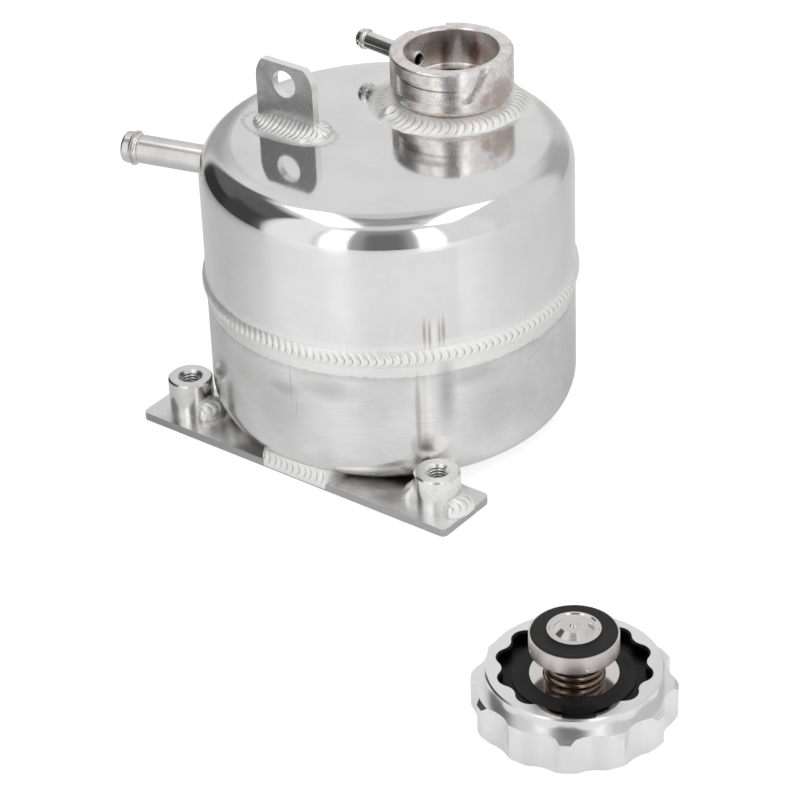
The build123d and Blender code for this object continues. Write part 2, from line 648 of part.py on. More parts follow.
def valve_guide():
    """Hollow rivet: clinched under the insert, with a lip that holds the valve cup."""
    foot = INSERT_WELL_HEIGHT - RIVET_WEB
    lip_low = CUP_FLOOR_HEIGHT + CUP_WALL
    lip = GUIDE_RADIUS + GUIDE_LIP
    return AT_CAP * turned((GUIDE_BORE_RADIUS, foot - GUIDE_WALL), (lip, foot - GUIDE_WALL), (lip, foot),
                           (GUIDE_RADIUS, foot), (GUIDE_RADIUS, lip_low), (lip, lip_low),
                           (lip, lip_low + GUIDE_WALL), (GUIDE_BORE_RADIUS, lip_low + GUIDE_WALL))


def pressure_spring():
    """Coil spring between the plate's well and the valve cup."""
    low = WELL_FLOOR + SPRING_END_GAP
    high = CUP_FLOOR_HEIGHT - SPRING_END_GAP
    return AT_CAP * coil(SPRING_RADIUS, SPRING_WIRE, SPRING_TURNS, low, high)


# Pressure valve

def valve_cup():
    """Drawn cup with a shoulder for the seal carrier and small staking dimples."""
    rim = CUP_FLOOR_HEIGHT + CUP_HEIGHT
    bore = CUP_RADIUS - CUP_WALL
    shoulder = bore - CUP_SHOULDER
    hole = GUIDE_RADIUS + GUIDE_RUNNING_GAP
    floor = CUP_FLOOR_HEIGHT + CUP_WALL
    cup = turned((hole, CUP_FLOOR_HEIGHT), (CUP_RADIUS, CUP_FLOOR_HEIGHT), (CUP_RADIUS, rim), (bore, rim),
                 (bore, CARRIER_UNDERSIDE), (shoulder, CARRIER_UNDERSIDE), (shoulder, floor), (hole, floor))
    foot = cup.edges().filter_by(GeomType.CIRCLE).group_by(Axis.Z)[0].sort_by(SortBy.RADIUS)[-1]
    cup = fillet(foot, CUP_EDGE_ROUND)
    depth = CUP_RADIUS + CUP_DIMPLE_RADIUS - CUP_DIMPLE_DEPTH
    middle = (CUP_FLOOR_HEIGHT + CARRIER_UNDERSIDE) / 2
    for index in range(CUP_DIMPLES):
        turn = Rot(0, 0, CUP_DIMPLE_ANGLE + 360 / CUP_DIMPLES * index)
        cup -= turn * Pos(depth, 0, middle) * Sphere(CUP_DIMPLE_RADIUS)
    return AT_CAP * cup


def seal_carrier():
    """Pierced disc on the cup's shoulder, under the seal."""
    carrier = ring(STEM_RADIUS + VALVE_FIT, CUP_RADIUS - CUP_WALL - VALVE_FIT, CARRIER_UNDERSIDE, CARRIER_TOP)
    for index in range(CARRIER_VENTS):
        turn = Rot(0, 0, 360 / CARRIER_VENTS * index)
        vent = disc(CARRIER_VENT_RADIUS, CARRIER_UNDERSIDE - CUT, CARRIER_TOP + CUT)
        carrier -= turn * Pos(CARRIER_VENT_CIRCLE, 0, 0) * vent
    return AT_CAP * carrier


def valve_seal():
    """Rubber ring that closes on the neck's inner seat."""
    seal = ring(SEAL_BORE, CUP_RADIUS - CUP_WALL - VALVE_FIT, CARRIER_TOP, SEAL_TOP)
    edge = seal.edges().filter_by(GeomType.CIRCLE).group_by(Axis.Z)[-1].sort_by(SortBy.RADIUS)[-1]
    return AT_CAP * fillet(edge, SEAL_ROUND)


# Vacuum valve

def vacuum_disc():
    """Pressed disc with a raised rim and a conical dome, on the seal's inner edge."""
    flat = SEAL_TOP + DISC_SHEET
    crown = flat + DOME_HEIGHT
    rim = DISC_RADIUS - DISC_SHEET
    return AT_CAP * turned(
        (STEM_RADIUS, crown - DISC_SHEET), (DOME_TOP_RADIUS - DISC_SHEET / 2, crown - DISC_SHEET),
        (DOME_FOOT_RADIUS - DISC_SHEET / 2, SEAL_TOP), (DISC_RADIUS, SEAL_TOP),
        (DISC_RADIUS, flat + DISC_RIM_HEIGHT), (rim, flat + DISC_RIM_HEIGHT),
        (rim - DISC_RIM_HEIGHT, flat), (DOME_FOOT_RADIUS, flat),
        (DOME_TOP_RADIUS, crown), (STEM_RADIUS, crown))


def vacuum_stem():
    """Pin riveted over the dome, down to the washer inside the cup."""
    crown = SEAL_TOP + DISC_SHEET + DOME_HEIGHT
    foot = WASHER_TOP - WASHER_THICKNESS
    head = STEM_HEAD_HEIGHT
    return AT_CAP * turned((0, foot - head), (STEM_HEAD_RADIUS, foot - head), (STEM_HEAD_RADIUS, foot),
                           (STEM_RADIUS, foot), (STEM_RADIUS, crown), (STEM_HEAD_RADIUS, crown),
                           (STEM_HEAD_RADIUS * STEM_HEAD_TAPER, crown + head), (0, crown + head))


def stem_washer():
    """Washer that the vacuum spring presses on."""
    return AT_CAP * ring(STEM_RADIUS, WASHER_RADIUS, WASHER_TOP - WASHER_THICKNESS, WASHER_TOP)


def vacuum_spring():
    """Weak spring between the seal carrier and the washer."""
    return AT_CAP * coil(VACUUM_SPRING_RADIUS, VACUUM_SPRING_WIRE, VACUUM_SPRING_TURNS,
                         WASHER_TOP + SPRING_END_GAP, CARRIER_UNDERSIDE - SPRING_END_GAP)


def build():
    """Every node of the part by name."""
    left, right = boss_places()
    return {
        "upper_shell": upper_shell(),
        "lower_shell": lower_shell(),
        "girth_weld": girth_weld(),
        "filler_neck": filler_neck(),
        "neck_weld": neck_weld(),
        "overflow_barb": overflow_barb(),
        "overflow_barb_braze": overflow_barb_braze(),
        "side_inlet_barb": side_inlet_barb(),
        "side_inlet_weld": side_inlet_weld(),
        "outlet_barb": outlet_barb(),
        "outlet_weld": outlet_weld(),
        "mounting_tab": mounting_tab(),
        "tab_weld_front": tab_weld(True),
        "tab_weld_back": tab_weld(False),
        "base_plate": base_plate(),
        "left_boss": boss(left),
        "right_boss": boss(right),
        "left_boss_weld": boss_weld(left, (0,)),
        "right_boss_weld": boss_weld(right, (0, 180)),
        "base_plate_front_weld": base_plate_front_weld(),
        "base_plate_rear_weld": base_plate_rear_weld(),
        "cap_knob": cap_knob(),
        "cap_insert": cap_insert(),
        "neck_gasket": neck_gasket(),
        "spring_plate": spring_plate(),
        "valve_guide": valve_guide(),
        "pressure_spring": pressure_spring(),
        "valve_cup": valve_cup(),
        "seal_carrier": seal_carrier(),
        "valve_seal": valve_seal(),
        "vacuum_disc": vacuum_disc(),
        "vacuum_stem": vacuum_stem(),
        "stem_washer": stem_washer(),
        "vacuum_spring": vacuum_spring(),
    }


os.makedirs("parts", exist_ok=True)
for name, shape in build().items():
    export_step(shape, f"parts/{name}.step")
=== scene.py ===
"""Dressed model of a welded aluminium coolant tank with its loose pressure cap.

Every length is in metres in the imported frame: +Z up, +X along the base plate, the tank behind it.
"""

import logging
import math
from dataclasses import dataclass
from enum import Enum
from typing import Callable, Sequence

import bmesh
import bpy
from bmesh.types import BMesh
from bpy.types import Material, Mesh, Node, NodeOutputs, NodeSocket, NodeTree, Object, World
from mathutils import Matrix, Vector


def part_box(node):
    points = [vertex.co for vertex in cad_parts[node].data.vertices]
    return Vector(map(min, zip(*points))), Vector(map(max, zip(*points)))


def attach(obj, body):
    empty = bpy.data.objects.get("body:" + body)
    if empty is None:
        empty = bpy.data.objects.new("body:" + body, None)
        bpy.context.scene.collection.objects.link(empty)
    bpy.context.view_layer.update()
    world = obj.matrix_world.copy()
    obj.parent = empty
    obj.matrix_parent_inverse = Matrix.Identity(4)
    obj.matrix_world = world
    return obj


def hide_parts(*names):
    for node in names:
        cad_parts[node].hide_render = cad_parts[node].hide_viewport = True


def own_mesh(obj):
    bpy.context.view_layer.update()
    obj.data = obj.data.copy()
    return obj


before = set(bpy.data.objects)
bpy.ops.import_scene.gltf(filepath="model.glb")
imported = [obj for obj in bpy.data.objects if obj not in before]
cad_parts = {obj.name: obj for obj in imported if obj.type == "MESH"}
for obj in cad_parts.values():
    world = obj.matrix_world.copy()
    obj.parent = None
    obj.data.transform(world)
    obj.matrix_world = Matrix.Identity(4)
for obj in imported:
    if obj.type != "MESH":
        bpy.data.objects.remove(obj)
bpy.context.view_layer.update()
LOG = logging.getLogger("coolant_tank")

MM = 0.001
FULL_TURN = 2 * math.pi
Place = tuple[float, float]
Point = tuple[float, float, float]
Colour = tuple[float, float, float, float]


def mm(x: float, y: float, z: float) -> Point:
    """Turns a point or a size from millimetres into metres."""
    return x * MM, y * MM, z * MM


def middle_of(node: str) -> Place:
    """X and Y of the middle of a node's box."""
    low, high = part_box(node)
    return (low.x + high.x) / 2, (low.y + high.y) / 2


def round_about(middle: Place, reach: float, turn: float) -> Place:
    """Place at a distance and a direction from a middle."""
    return middle[0] + reach * math.cos(turn), middle[1] + reach * math.sin(turn)


def linear(share: float) -> float:
    """Turns one sRGB channel, from 0 to 1, into linear light."""
    return share / 12.92 if share <= 0.04045 else ((share + 0.055) / 1.055) ** 2.4


def linear_colour(code: str) -> Colour:
    """Turns an sRGB hex colour, such as C0C4C8, into linear RGBA."""
    red, green, blue = (linear(int(code[start:start + 2], 16) / 255) for start in (0, 2, 4))
    return red, green, blue, 1.0


def cleared(block: Material | World) -> NodeTree:
    """Turns a material's or the world's nodes on and takes out those it starts with.

    Args:
        block: The material or world.

    Returns:
        Its empty node tree.
    """
    block.use_nodes = True
    block.node_tree.nodes.clear()
    return block.node_tree


def add_node(tree: NodeTree, kind: str, inputs: dict[str | int, object] | None = None, **settings: object) -> Node:
    """Adds one node with its settings and its inputs.

    Args:
        tree: Node tree that gets the node.
        kind: Blender's name for the node's type.
        inputs: Socket name or index, with a value, the output socket that feeds it, or a node
            whose first output in use feeds it.
        **settings: The node's own settings.

    Returns:
        The new node.
    """
    made = tree.nodes.new(kind)
    for name, value in settings.items():
        setattr(made, name, value)
    for key, value in (inputs or {}).items():
        if isinstance(key, int):
            socket = made.inputs[key]
        else:
            socket = next(each for each in made.inputs if each.name == key and each.enabled)
        if isinstance(value, Node):
            value = next(each for each in value.outputs if each.enabled)
        if isinstance(value, NodeSocket):
            tree.links.new(value, socket)
        else:
            socket.default_value = value
    return made


def placed(name: str, mesh: Mesh) -> Object:
    """Makes an object of a mesh and puts it in the scene."""
    piece = bpy.data.objects.new(name, mesh)
    bpy.context.scene.collection.objects.link(piece)
    return piece


# Finishes

class Grain(Enum):
    """How a surface's fine marks run."""

    EVEN = "even"
    DRAWN = "drawn"
    SPUN = "spun"
    TURNED = "turned"
    ROLLED = "rolled"


# How close the marks lie along X, Y and Z. 1 is the finish's own pitch, and less draws them out.
GRAIN_SCALE = {Grain.EVEN: (1, 1, 1), Grain.DRAWN: (1, 1, 0.04), Grain.SPUN: (0.07, 0.07, 1),
               Grain.TURNED: (1, 1, 1), Grain.ROLLED: (0.04, 1, 1)}


@dataclass(frozen=True)
class Zone:
    """Rounded zone of a surface with another colour and roughness, such as the haze beside a weld."""

    centre: Point
    size: Point
    colour: str
    roughness: float
    softness: float = 0.25
    strength: float = 1.0
    ragged: float = 0.0
    ragged_mm: float = 3.0

    def laid(self, tree: NodeTree, place: NodeSocket, colour: Colour | Node, rough: Node) -> tuple[Node, Node]:
        """Lays the zone over the colour and roughness so far.

        Args:
            tree: The material's tree.
            place: Object coordinates.
            colour: The colour, or the node that gives it.
            rough: Node that gives the roughness.

        Returns:
            The nodes that give the new colour and the new roughness.
        """
        away = add_node(tree, "ShaderNodeVectorMath", {0: place, 1: self.centre}, operation="SUBTRACT")
        scaled = add_node(tree, "ShaderNodeVectorMath", {0: away, 1: self.size}, operation="DIVIDE")
        reach = add_node(tree, "ShaderNodeVectorMath", {0: scaled}, operation="LENGTH")
        if self.ragged:
            noise = add_node(tree, "ShaderNodeTexNoise", {
                "Vector": place, "Scale": 1 / (self.ragged_mm * MM), "Detail": 5.0})
            shift = add_node(tree, "ShaderNodeMath", {0: noise, 1: 0.5}, operation="SUBTRACT")
            reach = add_node(tree, "ShaderNodeMath", {0: shift, 1: self.ragged, 2: reach}, operation="MULTIPLY_ADD")
        inside = add_node(tree, "ShaderNodeMapRange", {
            "Value": reach, "From Min": 1.0, "From Max": 1.0 - self.softness,
            "To Max": self.strength}, interpolation_type="SMOOTHSTEP")
        colour = add_node(tree, "ShaderNodeMix", {
            "Factor": inside, "A": colour, "B": linear_colour(self.colour)}, data_type="RGBA")
        return colour, add_node(tree, "ShaderNodeMix", {"Factor": inside, "A": rough, "B": self.roughness})


@dataclass(frozen=True)
class Finish:
    """One real material and how its surface was made."""

    name: str
    colour: str
    roughness: float
    metallic: float = 1.0
    grain: Grain = Grain.EVEN
    grain_pitch_mm: float = 0.6
    grain_depth: float = 0.02
    grain_haze: float = 0.03
    speckle: float = 0.0
    axis: Place = (0.0, 0.0)
    cloud_mm: float = 18.0
    cloud_colour: str = ""
    cloud_haze: float = 0.02
    cloud_amount: float = 0.3
    zones: tuple[Zone, ...] = ()
    valley_shade_colour: str = ""
    edge_colour: str = ""
    face_axis: str = "Y"
    specular: float = 0.5

    def material(self) -> Material:
        """Builds the finish as a material.

        Returns:
            A new material named for this finish.
        """
        made = bpy.data.materials.new(self.name)
        tree = cleared(made)
        place = add_node(tree, "ShaderNodeTexCoord").outputs["Object"]
        grain = self._grain(tree, place)
        cloud = add_node(tree, "ShaderNodeTexNoise", {
            "Vector": place, "Scale": 1 / (self.cloud_mm * MM), "Detail": 4.0, "Roughness": 0.6})
        cloudy = add_node(tree, "ShaderNodeMapRange", {"Value": cloud, "From Min": 0.42, "From Max": 0.68})
        colour = linear_colour(self.colour)
        if self.cloud_colour:
            share = add_node(tree, "ShaderNodeMath", {0: cloudy, 1: self.cloud_amount}, operation="MULTIPLY")
            colour = add_node(tree, "ShaderNodeMix", {
                "Factor": share, "A": colour, "B": linear_colour(self.cloud_colour)}, data_type="RGBA")
        rough = add_node(tree, "ShaderNodeMath", {
            0: cloudy, 1: self.cloud_haze, 2: self.roughness}, operation="MULTIPLY_ADD")
        rough = add_node(tree, "ShaderNodeMath", {0: grain, 1: self.grain_haze, 2: rough}, operation="MULTIPLY_ADD")
        for zone in self.zones:
            colour, rough = zone.laid(tree, place, colour, rough)
        if self.speckle:
            shade = add_node(tree, "ShaderNodeMapRange", {
                "Value": grain, "From Min": 0.3, "From Max": 0.7, "To Min": 1.0 - self.speckle, "To Max": 1.0})
            colour = add_node(tree, "ShaderNodeMix", {
                "Factor": 1.0, "A": colour, "B": shade}, data_type="RGBA", blend_type="MULTIPLY")
        if self.edge_colour:
            facing = add_node(tree, "ShaderNodeNewGeometry").outputs["Normal"]
            sides = add_node(tree, "ShaderNodeSeparateXYZ", {0: facing}).outputs[self.face_axis]
            flat = add_node(tree, "ShaderNodeMath", {0: sides}, operation="ABSOLUTE")
            face = add_node(tree, "ShaderNodeMapRange", {"Value": flat, "From Min": 0.75, "From Max": 0.95})
            colour = add_node(tree, "ShaderNodeMix", {
                "Factor": face, "A": linear_colour(self.edge_colour), "B": colour}, data_type="RGBA")
        # Painted shade: the ripples' valleys are darkened by the crest attribute.
        if self.valley_shade_colour:
            crest = add_node(tree, "ShaderNodeAttribute", attribute_name="crest").outputs["Fac"]
            share = add_node(tree, "ShaderNodeMapRange", {"Value": crest, "From Min": 0.15, "From Max": 0.62})
            colour = add_node(tree, "ShaderNodeMix", {
                "Factor": share, "A": linear_colour(self.valley_shade_colour), "B": colour}, data_type="RGBA")
        bump = add_node(tree, "ShaderNodeBump", {
            "Height": grain, "Strength": 1.0, "Distance": self.grain_depth * MM})
        shader = add_node(tree, "ShaderNodeBsdfPrincipled", {
            "Base Color": colour, "Metallic": self.metallic, "Roughness": rough,
            "Specular IOR Level": self.specular, "Normal": bump})
        add_node(tree, "ShaderNodeOutputMaterial", {"Surface": shader})
        return made

    def _grain(self, tree: NodeTree, place: NodeSocket) -> Node:
        """Adds the fine marks.

        Args:
            tree: The material's tree.
            place: Object coordinates.

        Returns:
            A node that gives a value from 0 to 1 along the marks.
        """
        moved = add_node(tree, "ShaderNodeMapping", {"Vector": place, "Location": (-self.axis[0], -self.axis[1], 0)})
        if self.grain is Grain.TURNED:
            flat = add_node(tree, "ShaderNodeVectorMath", {0: moved, 1: (1, 1, 0)}, operation="MULTIPLY")
            reach = add_node(tree, "ShaderNodeVectorMath", {0: flat}, operation="LENGTH")
            height = add_node(tree, "ShaderNodeSeparateXYZ", {0: moved}).outputs["Z"]
            moved = add_node(tree, "ShaderNodeCombineXYZ", {"X": reach, "Z": height})
        scaled = add_node(tree, "ShaderNodeVectorMath", {0: moved, 1: GRAIN_SCALE[self.grain]}, operation="MULTIPLY")
        return add_node(tree, "ShaderNodeTexNoise", {
            "Vector": scaled, "Scale": 1 / (self.grain_pitch_mm * MM), "Detail": 3.0})


# Geometry Nodes trees

def new_tree(name: str, sizes: dict[str, float]) -> tuple[NodeTree, NodeOutputs]:
    """Starts a Geometry Nodes tree with named inputs.

    Args:
        name: The tree's name.
        sizes: Each float input with its default.

    Returns:
        The tree and the sockets that give its inputs.
    """
    tree = bpy.data.node_groups.new(name, "GeometryNodeTree")
    tree.interface.new_socket("Geometry", in_out="INPUT", socket_type="NodeSocketGeometry")
    for label, value in sizes.items():
        tree.interface.new_socket(label, in_out="INPUT", socket_type="NodeSocketFloat").default_value = value
    tree.interface.new_socket("Finish", in_out="INPUT", socket_type="NodeSocketMaterial")
    tree.interface.new_socket("Geometry", in_out="OUTPUT", socket_type="NodeSocketGeometry")
    return tree, add_node(tree, "NodeGroupInput").outputs


def close_tree(tree: NodeTree, given: NodeOutputs, geometry: Node) -> None:
    """Ends a tree in Realize Instances and Set Material.

    Args:
        tree: The tree to end.
        given: The sockets that give its inputs.
        geometry: The last node of the shape.
    """
    smooth = add_node(tree, "GeometryNodeSetShadeSmooth", {"Geometry": geometry})
    real = add_node(tree, "GeometryNodeRealizeInstances", {"Geometry": smooth})
    dressed = add_node(tree, "GeometryNodeSetMaterial", {"Geometry": real, "Material": given["Finish"]})
    add_node(tree, "NodeGroupOutput", {"Geometry": dressed})


def ripple_tree() -> NodeTree:
    """Makes the tree that presses curved ripples into a weld bead.

    Returns:
        The tree. It reads the attributes along, in metres, and across, from -1 to 1.
    """
    tree, given = new_tree("weld_ripples", {
        "Pitch": 2.7 * MM, "Depth": 0.3 * MM, "Lean": 0.6, "Wander": 0.3, "Seed": 1.0})
    along = add_node(tree, "GeometryNodeInputNamedAttribute", {"Name": "along"}, data_type="FLOAT")
    across = add_node(tree, "GeometryNodeInputNamedAttribute", {"Name": "across"}, data_type="FLOAT")
    square = add_node(tree, "ShaderNodeMath", {0: across, 1: 2.0}, operation="POWER")
    steps = add_node(tree, "ShaderNodeMath", {0: along, 1: given["Pitch"]}, operation="DIVIDE")
    spot = add_node(tree, "ShaderNodeMath", {0: steps, 1: 0.45, 2: given["Seed"]}, operation="MULTIPLY_ADD")
    noise = add_node(tree, "ShaderNodeTexNoise", {"W": spot, "Scale": 1.0, "Detail": 2.0}, noise_dimensions="1D")
    centred = add_node(tree, "ShaderNodeMath", {0: noise, 1: 0.5}, operation="SUBTRACT")
    shift = add_node(tree, "ShaderNodeMath", {0: centred, 1: given["Wander"], 2: steps}, operation="MULTIPLY_ADD")
    phase = add_node(tree, "ShaderNodeMath", {0: square, 1: given["Lean"], 2: shift}, operation="MULTIPLY_ADD")
    part = add_node(tree, "ShaderNodeMath", {0: phase}, operation="FRACT")
    angle = add_node(tree, "ShaderNodeMath", {0: part, 1: math.pi}, operation="MULTIPLY")
    wave = add_node(tree, "ShaderNodeMath", {0: angle}, operation="SINE")
    ridge = add_node(tree, "ShaderNodeMath", {0: wave, 1: 0.55}, operation="POWER")
    toe = add_node(tree, "ShaderNodeMath", {0: square, 1: 2.0}, operation="POWER")
    body = add_node(tree, "ShaderNodeMath", {0: 1.0, 1: toe}, operation="SUBTRACT", use_clamp=True)
    drop = add_node(tree, "ShaderNodeMath", {0: ridge, 1: 1.0}, operation="SUBTRACT")
    press = add_node(tree, "ShaderNodeMath", {0: drop, 1: body}, operation="MULTIPLY")
    depth = add_node(tree, "ShaderNodeMath", {0: press, 1: given["Depth"]}, operation="MULTIPLY")
    normal = add_node(tree, "GeometryNodeInputNormal")
    push = add_node(tree, "ShaderNodeVectorMath", {0: normal, "Scale": depth}, operation="SCALE")
    moved = add_node(tree, "GeometryNodeSetPosition", {"Geometry": given["Geometry"], "Offset": push})
    crest = add_node(tree, "ShaderNodeMath", {0: press, 1: 1.0}, operation="ADD")
    kept = add_node(tree, "GeometryNodeStoreNamedAttribute", {
        "Geometry": moved, "Name": "crest", "Value": crest}, data_type="FLOAT", domain="POINT")
    close_tree(tree, given, kept)
    return tree


def coil_tree() -> NodeTree:
    """Makes the tree that winds a round wire about Z, closer at both ends.

    Returns:
        The tree. Low and High are the heights between which the wire lies.
    """
    tree, given = new_tree("wound_wire", {
        "Radius": 8.7 * MM, "Wire": 1.6 * MM, "Turns": 6.4, "Low": 0.0, "High": 16 * MM,
        "Close Ends": 0.25, "Centre X": 0.0, "Centre Y": 0.0, "Sides": 16.0})
    low = add_node(tree, "ShaderNodeMath", {0: given["Wire"], 1: 0.5, 2: given["Low"]}, operation="MULTIPLY_ADD")
    span = add_node(tree, "ShaderNodeMath", {0: given["High"], 1: given["Low"]}, operation="SUBTRACT")
    rise = add_node(tree, "ShaderNodeMath", {0: span, 1: given["Wire"]}, operation="SUBTRACT")
    spiral = add_node(tree, "GeometryNodeCurveSpiral", {
        "Resolution": 48, "Rotations": given["Turns"], "Start Radius": given["Radius"],
        "End Radius": given["Radius"], "Height": 0.0})
    share = add_node(tree, "GeometryNodeSplineParameter")
    turn = add_node(tree, "ShaderNodeMath", {0: share, 1: FULL_TURN}, operation="MULTIPLY")
    swing = add_node(tree, "ShaderNodeMath", {0: turn}, operation="SINE")
    slow = add_node(tree, "ShaderNodeMath", {0: given["Close Ends"], 1: -1 / FULL_TURN}, operation="MULTIPLY")
    eased = add_node(tree, "ShaderNodeMath", {0: swing, 1: slow, 2: share}, operation="MULTIPLY_ADD")
    height = add_node(tree, "ShaderNodeMath", {0: eased, 1: rise, 2: low}, operation="MULTIPLY_ADD")
    offset = add_node(tree, "ShaderNodeCombineXYZ", {"X": given["Centre X"], "Y": given["Centre Y"], "Z": height})
    path = add_node(tree, "GeometryNodeSetPosition", {"Geometry": spiral, "Offset": offset})
    half = add_node(tree, "ShaderNodeMath", {0: given["Wire"], 1: 0.5}, operation="MULTIPLY")
    sides = add_node(tree, "FunctionNodeFloatToInt", {0: given["Sides"]})
    section = add_node(tree, "GeometryNodeCurvePrimitiveCircle", {"Resolution": sides, "Radius": half})
    wire = add_node(tree, "GeometryNodeCurveToMesh", {"Curve": path, "Profile Curve": section, "Fill Caps": True})
    close_tree(tree, given, wire)
    return tree


def grown(name: str, base: Mesh, tree: NodeTree, values: dict[str, float | Material]) -> Object:
    """Runs a Geometry Nodes tree on a mesh and keeps the result as a plain mesh.

    Args:
        name: Name of the piece.
        base: Mesh that the tree starts from.
        tree: The Geometry Nodes tree.
        values: The tree's inputs by name.

    Returns:
        The finished object, with no modifier left on it.
    """
    piece = placed(name, base)
    modifier = piece.modifiers.new("shape", "NODES")
    modifier.node_group = tree
    for item in tree.interface.items_tree:
        if item.in_out == "INPUT" and item.name in values:
            modifier[item.identifier] = values[item.name]
    depsgraph = bpy.context.evaluated_depsgraph_get()
    mesh = bpy.data.meshes.new_from_object(
        piece.evaluated_get(depsgraph), preserve_all_data_layers=True, depsgraph=depsgraph)
    piece.modifiers.clear()
    piece.data = mesh
    mesh.name = name
    LOG.info("%s: %d faces", name, len(mesh.polygons))
    return piece


@dataclass(frozen=True)
class Coil:
    """Round wire wound about Z between two heights."""

    middle: Place
    radius: float
    wire: float
    low: float
    high: float
    turns: float
    close_ends: float
    sides: float

    def wound(self, name: str, tree: NodeTree, finish: Material) -> Object:
        """Winds the wire.

        Args:
            name: Name of the piece.
            tree: The wound wire tree.
            finish: The wire's material.

        Returns:
            The finished piece.
        """
        return grown(name, bpy.data.meshes.new(name), tree, {
            "Radius": self.radius, "Wire": self.wire, "Turns": self.turns, "Low": self.low, "High": self.high,
            "Close Ends": self.close_ends, "Centre X": self.middle[0], "Centre Y": self.middle[1],
            "Sides": self.sides, "Finish": finish})


# Weld beads

@dataclass(frozen=True)
class Station:
    """One cross-section of a bead: its points in order, and how far along the bead it lies."""

    points: Sequence[Point]
    along: float


def bead_mesh(name: str, runs: Sequence[Sequence[Station]], across: Sequence[float], ring: bool) -> Mesh:
    """Joins cross-sections into closed shapes that carry along and across.

    Args:
        name: The mesh's name.
        runs: Each shape's cross-sections in order, all with as many points.
        across: For each point of a section, -1 and 1 at the toes and 0 at the crown.
        ring: True if the last section joins the first.

    Returns:
        The closed mesh with its faces outwards.
    """
    build = bmesh.new()
    along_layer = build.verts.layers.float.new("along")
    across_layer = build.verts.layers.float.new("across")
    for stations in runs:
        rows = []
        for station in stations:
            row = []
            for point, share in zip(station.points, across):
                vertex = build.verts.new(point)
                vertex[along_layer] = station.along
                vertex[across_layer] = share
                row.append(vertex)
            rows.append(row)
        for here, there in zip(rows, rows[1:] + rows[:1] if ring else rows[1:]):
            for index in range(len(here)):
                after = (index + 1) % len(here)
                build.faces.new((here[index], there[index], there[after], here[after]))
        if not ring:
            build.faces.new(rows[0])
            build.faces.new(rows[-1])
        bmesh.ops.remove_doubles(build, verts=[vertex for row in rows for vertex in row], dist=1e-7)
    bmesh.ops.recalc_face_normals(build, faces=build.faces)
    mesh = bpy.data.meshes.new(name)
    build.to_mesh(mesh)
    build.free()
    return mesh


def shares(count: int) -> list[float]:
    """Even steps from -1 to 1."""
    return [2 * index / (count - 1) - 1 for index in range(count)]


def waved(waves: Sequence[Point], turn: float) -> float:
    """Unevenness round a bead, from waves of a size in millimetres, a number to the turn and a start."""
    return sum(size * MM * math.sin(number * turn + start) for size, number, start in waves)


def swelled(inset: float, rounding: float) -> float:
    """Share of its full size that an open bead with round ends has, at a distance from its end."""
    return math.sqrt(max(rounding ** 2 - (rounding - min(inset, rounding)) ** 2, 0)) / rounding


@dataclass(frozen=True)
class Shell:
    """Outer form of the tank: a turned shell with a rounded shoulder and foot."""

    radius: float = 65.0 * MM
    axis_y: float = 48.7 * MM
    floor: float = 3.0 * MM
    top: float = 107.2 * MM
    seam: float = 55.6 * MM
    shoulder: float = 12.0 * MM
    foot: float = 13.0 * MM

    def top_at(self, x: float, y: float) -> float:
        """Height of the outside over one place, down the shoulder.

        Args:
            x: Place along X.
            y: Place along Y.

        Returns:
            Height in metres.
        """
        past = math.hypot(x, y - self.axis_y) - (self.radius - self.shoulder)
        if past <= 0:
            return self.top
        past = min(past, self.shoulder)
        return self.top - self.shoulder + math.sqrt(self.shoulder ** 2 - past ** 2)

    def front_of_foot(self, x: float, rise: float) -> float:
        """Y of the foot's front surface.

        Args:
            x: Place along X.
            rise: Height over the tank's floor.

        Returns:
            Y in metres.
        """
        reach = self.radius - self.foot + math.sqrt(self.foot ** 2 - (self.foot - rise) ** 2)
        return self.axis_y - math.sqrt(reach ** 2 - x ** 2)


SHELL = Shell()
TANK_AXIS = (0.0, SHELL.axis_y)


@dataclass(frozen=True)
class Ripples:
    """How a bead's ripples lie. The lean of their ends and their wander are in ripples."""

    depth: float
    lean: float
    wander: float
    seed: float


